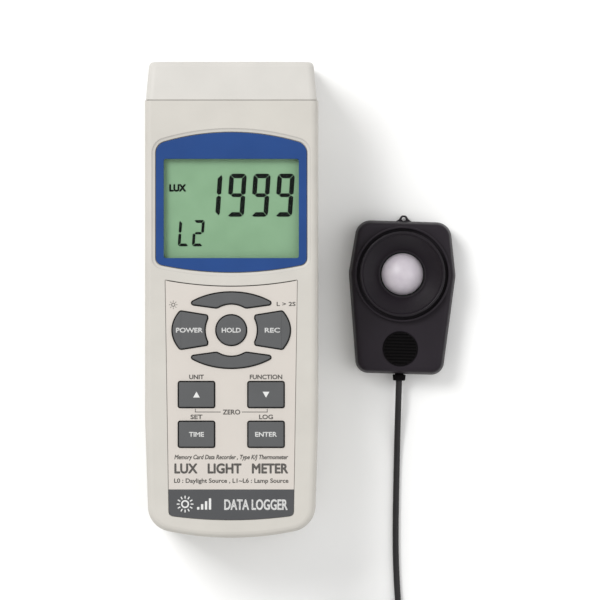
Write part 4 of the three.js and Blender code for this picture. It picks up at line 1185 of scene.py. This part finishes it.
def make_cells():
    """Six cells along X: a sleeve, a flat negative end and a positive end with its nub."""
    nub = 1.2
    for number in range(1, 7):
        node = f"battery_{number}"
        low, high = box_of(node)
        middle = middle_of(node)
        radius, half = (high.y - low.y) / 2, (high.x - low.x) / 2
        shoulder = half - nub
        # The end whose rim stands back behind the nub is the positive one.
        corners = [vertex.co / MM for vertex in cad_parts[node].data.vertices]
        rims = [corner.x for corner in corners if abs(corner.y - middle.y) > radius * 0.8]
        sign = 1 if high.x - max(rims) > min(rims) - low.x else -1
        sleeve = lathe([(0, 0.3 - half, 0), (radius - 1.2, 0.3 - half, 0), (radius - 1.0, -half, 0.1),
                        (radius, -half, 0.4), (radius, shoulder, 0.5), (radius - 1.2, shoulder, 0.1),
                        (radius - 1.4, shoulder - 0.3, 0), (0, shoulder - 0.3, 0)], 64)
        minus = lathe([(0, 0.31 - half, 0), (radius - 1.3, 0.31 - half, 0), (radius - 1.3, 0.2 - half, 0),
                       (0, 0.2 - half, 0)], 64)
        plus = lathe([(0, shoulder - 0.31, 0), (radius - 1.5, shoulder - 0.31, 0),
                      (radius - 1.6, shoulder - 0.1, 0.05), (2.7, shoulder, 0.1), (2.7, half, 0.3),
                      (0, half, 0)], 64)
        place = Matrix.Translation(middle) @ turn(90 * sign, "Y")
        mesh = placed(together(sleeve, merged([minus, plus])), place)
        piece(f"cell_{number}", mesh, "meter", [JACKET, STEEL], [node])


def make_tripod_nut():
    """Brass nut with a threaded way for a tripod screw."""
    low, high = box_of("tripod_insert")
    radius, bore, pitch, end = (high.x - low.x) / 2, 2.55, 1.27, high.z - 1.5
    corners = [(0, end, 0), (bore, end, 0)]
    z = end - 0.6
    while z - pitch > low.z + 0.4:
        corners += [(bore, z, 0), (bore + 0.55, z - pitch / 2, 0)]
        z -= pitch
    corners += [(bore, z, 0), (bore, low.z + 0.3, 0), (bore + 0.3, low.z, 0), (radius, low.z, 0.2),
                (radius, high.z, 0.2), (0, high.z, 0)]
    place = Matrix.Translation((*middle_of("tripod_insert").xy, 0))
    mesh = placed(lathe(corners, 64), place)
    piece("tripod_nut", mesh, "meter", [BRASS], ["tripod_insert"])


def make_probe_contacts():
    """Five hollow contacts in the round probe socket."""
    middle, end = middle_of("probe_socket"), box_of("probe_socket")[1].y
    pins = []
    for across, up in PIN_PLACES:
        start = Vector((middle.x + across, end - 4.9, middle.z + up))
        outer = rod(start, start + Vector((0, 3.6, 0)), 0.6, 24)
        inner = rod(start + Vector((0, 1, 0)), start + Vector((0, 4, 0)), 0.32, 24)
        pins.append(carved(outer, inner))
    piece("probe_contacts", merged(pins), "meter", [BRASS])


def make_jack_cover():
    """Cover with four grip grooves on its outside."""
    low, high = box_of("jack_cover")
    middle_y = middle_of("jack_cover").y
    first, width, depth = low.z + 1.6, 0.45, 0.6
    tools = grooves(4, (0, 0, 1), (high.x - depth, middle_y - 5, first),
                    (high.x + 1, middle_y + 5, first + width))
    refined("jack_cover", "jack_cover", DARK, 0.14, tools)


def make_card():
    """Memory card with a label field, thumb grooves on its outer end and gold contacts on its inner one."""
    low, high = box_of("memory_card")
    tools = [opening(rectangle(9, 8, 0.6, 0, low.y + 14), high.z - 0.12, high.z, 0.05)]
    first, width, depth = low.y + 1.5, 0.55, 0.25
    tools += grooves(3, (0, 1.1, 0), (-7, first, high.z - depth), (7, first + width, high.z + 1))
    refined("memory_card", "memory_card", DARK, 0.12, tools)
    outlines = [rectangle(0.8, 1.9, 0.3, (i - 3.5) * 2.6, high.y - 3.2) for i in range(8)]
    pads = [slab(outline, low.z - 0.005, low.z + 0.02) for outline in outlines]
    piece("card_contacts", merged(pads), "memory_card", [BRASS])


def make_plain_pieces():
    """Pieces that keep their CAD shape and get fine edges and a material."""
    refined("rear_case", "meter", CASE, 0.18)
    refined("thermocouple_socket", "meter", YELLOW, 0.2)
    refined("keypad_mat", "meter", SILICONE)
    refined("card_socket", "meter", STEEL)
    refined("reset_button", "reset_button", DARK)
    refined("photodiode", "sensor", DARK)
    for node in ("probe_socket", "data_jack", "power_jack"):
        refined(node, "meter", DARK)
    for node in ("lcd_holder", "backlight_panel"):
        refined(node, "meter", WHITE)
    for node, body in (("main_board", "meter"), ("sensor_board", "sensor")):
        refined(node, body, BOARD_GREEN)
    for side in ("left", "right"):
        refined(f"battery_contacts_{side}", "meter", STEEL, 0.08)


# ---- light sensor

# Where the middle of the dome stands on the floor, and how the sensor is turned. Its sizes are in its
# own frame.
SENSOR_PLACE = Matrix.Translation((65.8, 10.1, 0)) @ turn(-1.7, "Z")
SENSOR_SPLIT = 5                # height of the joint between its shells
SENSOR_GAP = 0.15               # half of that joint's width
SENSOR_FACE = 12.5
SENSOR_EDGE = -38.6             # its lower edge in Y
CUP_WALL = (17.7, 18.45)        # radii of the round wall that holds the cup
CUP_WALL_TOP = 14.6
SENSOR_OUTLINE = rounded([(17.9, 20.5, 6), (-17.9, 20.5, 6), (-20.7, 0, 7), (-16.7, SENSOR_EDGE, 5),
                          (16.7, SENSOR_EDGE, 5), (20.7, 0, 7)], 6)
GRIP_Y, GRIP_RADIUS = -28.9, 6.5
SENSOR_SCREWS = ((-11.5, -31), (11.5, -31))


def grommet_way():
    return rod((0, SENSOR_EDGE - 2, SENSOR_SPLIT), (0, SENSOR_EDGE + 5, SENSOR_SPLIT), 2.05)


def on_screws(radius, low, high, steps):
    """Round bars of one size around both of the sensor's screws."""
    return [slab(circle(x, y, radius, steps), low, high) for x, y in SENSOR_SCREWS]


def make_sensor_top():
    """Top shell: the round wall for the cup, the recess of the grip and the two screw bosses."""
    joint_z, (inner, outer) = SENSOR_SPLIT + SENSOR_GAP, CUP_WALL
    levels = [(joint_z, 0), (9.5, -0.5), (11.5, -1), (12.25, -1.8), (SENSOR_FACE, -2.9)]
    top = stacked(SENSOR_OUTLINE, smooth(levels))
    wall = lathe([(0, 10.5, 0), (outer, 10.5, 0), (outer, CUP_WALL_TOP, 0.25), (0, CUP_WALL_TOP, 0)], 128, 15)
    cavity = slab(grown(SENSOR_OUTLINE, -2.5), SENSOR_SPLIT - 1, 10.2)
    cup_pocket = opening(circle(0, 0, inner, 128), 11.8, CUP_WALL_TOP, 0.2)
    cup_way = slab(circle(0, 0, 15.5), 9, 13)
    grip_pocket = opening(circle(0, GRIP_Y, GRIP_RADIUS + GAP), 11.9, SENSOR_FACE, 0.15)
    mesh = carved(united(top, wall), cup_pocket, cup_way, cavity, grip_pocket, grommet_way())
    mesh = united(mesh, *on_screws(2.4, joint_z, 10.4, 40))
    mesh = placed(carved(mesh, *on_screws(1.1, SENSOR_SPLIT - 1, 9.6, 32)), SENSOR_PLACE)
    piece("sensor_upper", mesh, "sensor", [SENSOR_BLACK], ["sensor_top_shell"])


def make_sensor_base():
    """Base shell: the eyelet at its far end and the tubes and recesses of the two screws."""
    joint_z = SENSOR_SPLIT - SENSOR_GAP
    base = stacked(SENSOR_OUTLINE, smooth([(0, -2), (0.5, -1.1), (1.6, -0.5), (joint_z, 0)]))
    base = carved(base, slab(grown(SENSOR_OUTLINE, -1.9), 1.8, SENSOR_SPLIT + 1), grommet_way())
    eyelet = rounded([(3.6, 19.4, 0), (3.2, 20.4, 0.5), (1.9, 21.2, 2), (0.9, 22.8, 1.1),
                      (-0.9, 22.8, 1.1), (-1.9, 21.2, 2), (-3.2, 20.4, 0.5), (-3.6, 19.4, 0)], 12)
    mesh = united(base, pillow(eyelet, 1.6, 4.2, 0.25, 0.25), *on_screws(2.6, 1, joint_z, 40))
    bores = [opening(circle(x, y, 2, 40), 1.9, 0, 0.15) for x, y in SENSOR_SCREWS]
    bores += on_screws(1.1, 1, SENSOR_SPLIT + 1, 32)
    mesh = placed(carved(mesh, *bores, slab(circle(0, 21.4, 0.75, 32), 0, 5)), SENSOR_PLACE)
    piece("sensor_base", mesh, "sensor", [SENSOR_BLACK], ["sensor_base_shell"])


def make_optics():
    """Dished cup and the diffuser dome in its middle."""
    cup = lathe([(8.4, 6.6, 0.1), (15.2, 6.6, 0.2), (15.2, 12.1, 0.1), (16.5, 12.1, 0.15),
                 (16.5, 16, 0.4), (15.6, 16, 0.35), (15.2, 15.1, 0.8), (12, 12.8, 5),
                 (9.1, 10.8, 0.6), (8.4, 10.8, 0.15)], 128, 15)
    piece("dished_cup", placed(cup, SENSOR_PLACE), "sensor", [CUP_BLACK], ["sensor_cup"])
    shoulder, top, radius = 10.4, 17, 7.8
    rise = arc(0, 0, 1, 0, 90, 24)[:-1]
    crown = [(radius * point.x, shoulder + (top - shoulder) * point.y) for point in rise]
    dome = turned([(0, 6.9), (8.0, 6.9), (8.1, 7.0), (8.1, 9.9), (8.0, 10.1), *crown, (0, top)], 128)
    piece("opal_dome", placed(dome, SENSOR_PLACE), "sensor", [OPAL], ["diffuser_dome"])


def make_grip():
    """Round thumb rest with cross ribs."""
    low, high = box_of("thumb_grip")
    disc = pillow(circle(0, GRIP_Y, GRIP_RADIUS, 96), low.z, high.z, 0.1, 0.3)
    pitch, width = 1.22, 0.5
    slots = []
    for i in range(-4, 6):
        offset = (i - 0.5) * pitch
        half = math.sqrt((GRIP_RADIUS - 0.35) ** 2 - offset ** 2)
        outline = rectangle(half, width / 2, 0.2, 0, GRIP_Y + offset, 30)
        slots.append(opening(outline, high.z - 0.55, high.z, 0.1))
    mesh = placed(carved(disc, *slots), SENSOR_PLACE)
    piece("ribbed_grip", mesh, "sensor", [RUBBER], ["thumb_grip"])


def make_grommet():
    """Grommet where the cord comes out of the sensor."""
    inner, outer = -4.1 - SENSOR_EDGE, 2.6 - SENSOR_EDGE
    mesh = lathe([(0, inner, 0), (2.8, inner, 0.15), (2.8, inner + 1.3, 0.1), (1.75, inner + 1.3, 0.05),
                  (1.75, outer - 2.3, 0.05), (2.55, outer - 2.3, 0.2), (2.35, outer, 0.35), (0, outer, 0)],
                 64, 15)
    lying = Matrix.Translation((0, 0, SENSOR_SPLIT)) @ turn(90, "X")
    mesh = placed(mesh, SENSOR_PLACE @ lying)
    return piece("cord_grommet_fine", mesh, "sensor", [RUBBER], ["cord_grommet"])


# ---- the scene

def make_floor():
    floor = bpy.data.objects.new("floor", slab(rectangle(9000, 9000), -20, 0))
    floor.data.materials.append(FLOOR)
    bpy.context.collection.objects.link(floor)


make_camera()
make_cord([make_grommet(), make_tie(), *make_plug()])
make_lights()
make_floor()
make_front()
make_cap()
make_bezel()
make_film()
make_display()
for node_name in KEY_OUTLINES:
    make_key(node_name)
make_printing()
make_stand()
make_battery_cover()
make_cells()
make_tripod_nut()
make_probe_contacts()
make_jack_cover()
make_card()
make_plain_pieces()
make_sensor_top()
make_sensor_base()
make_optics()
make_grip()
make_screws()
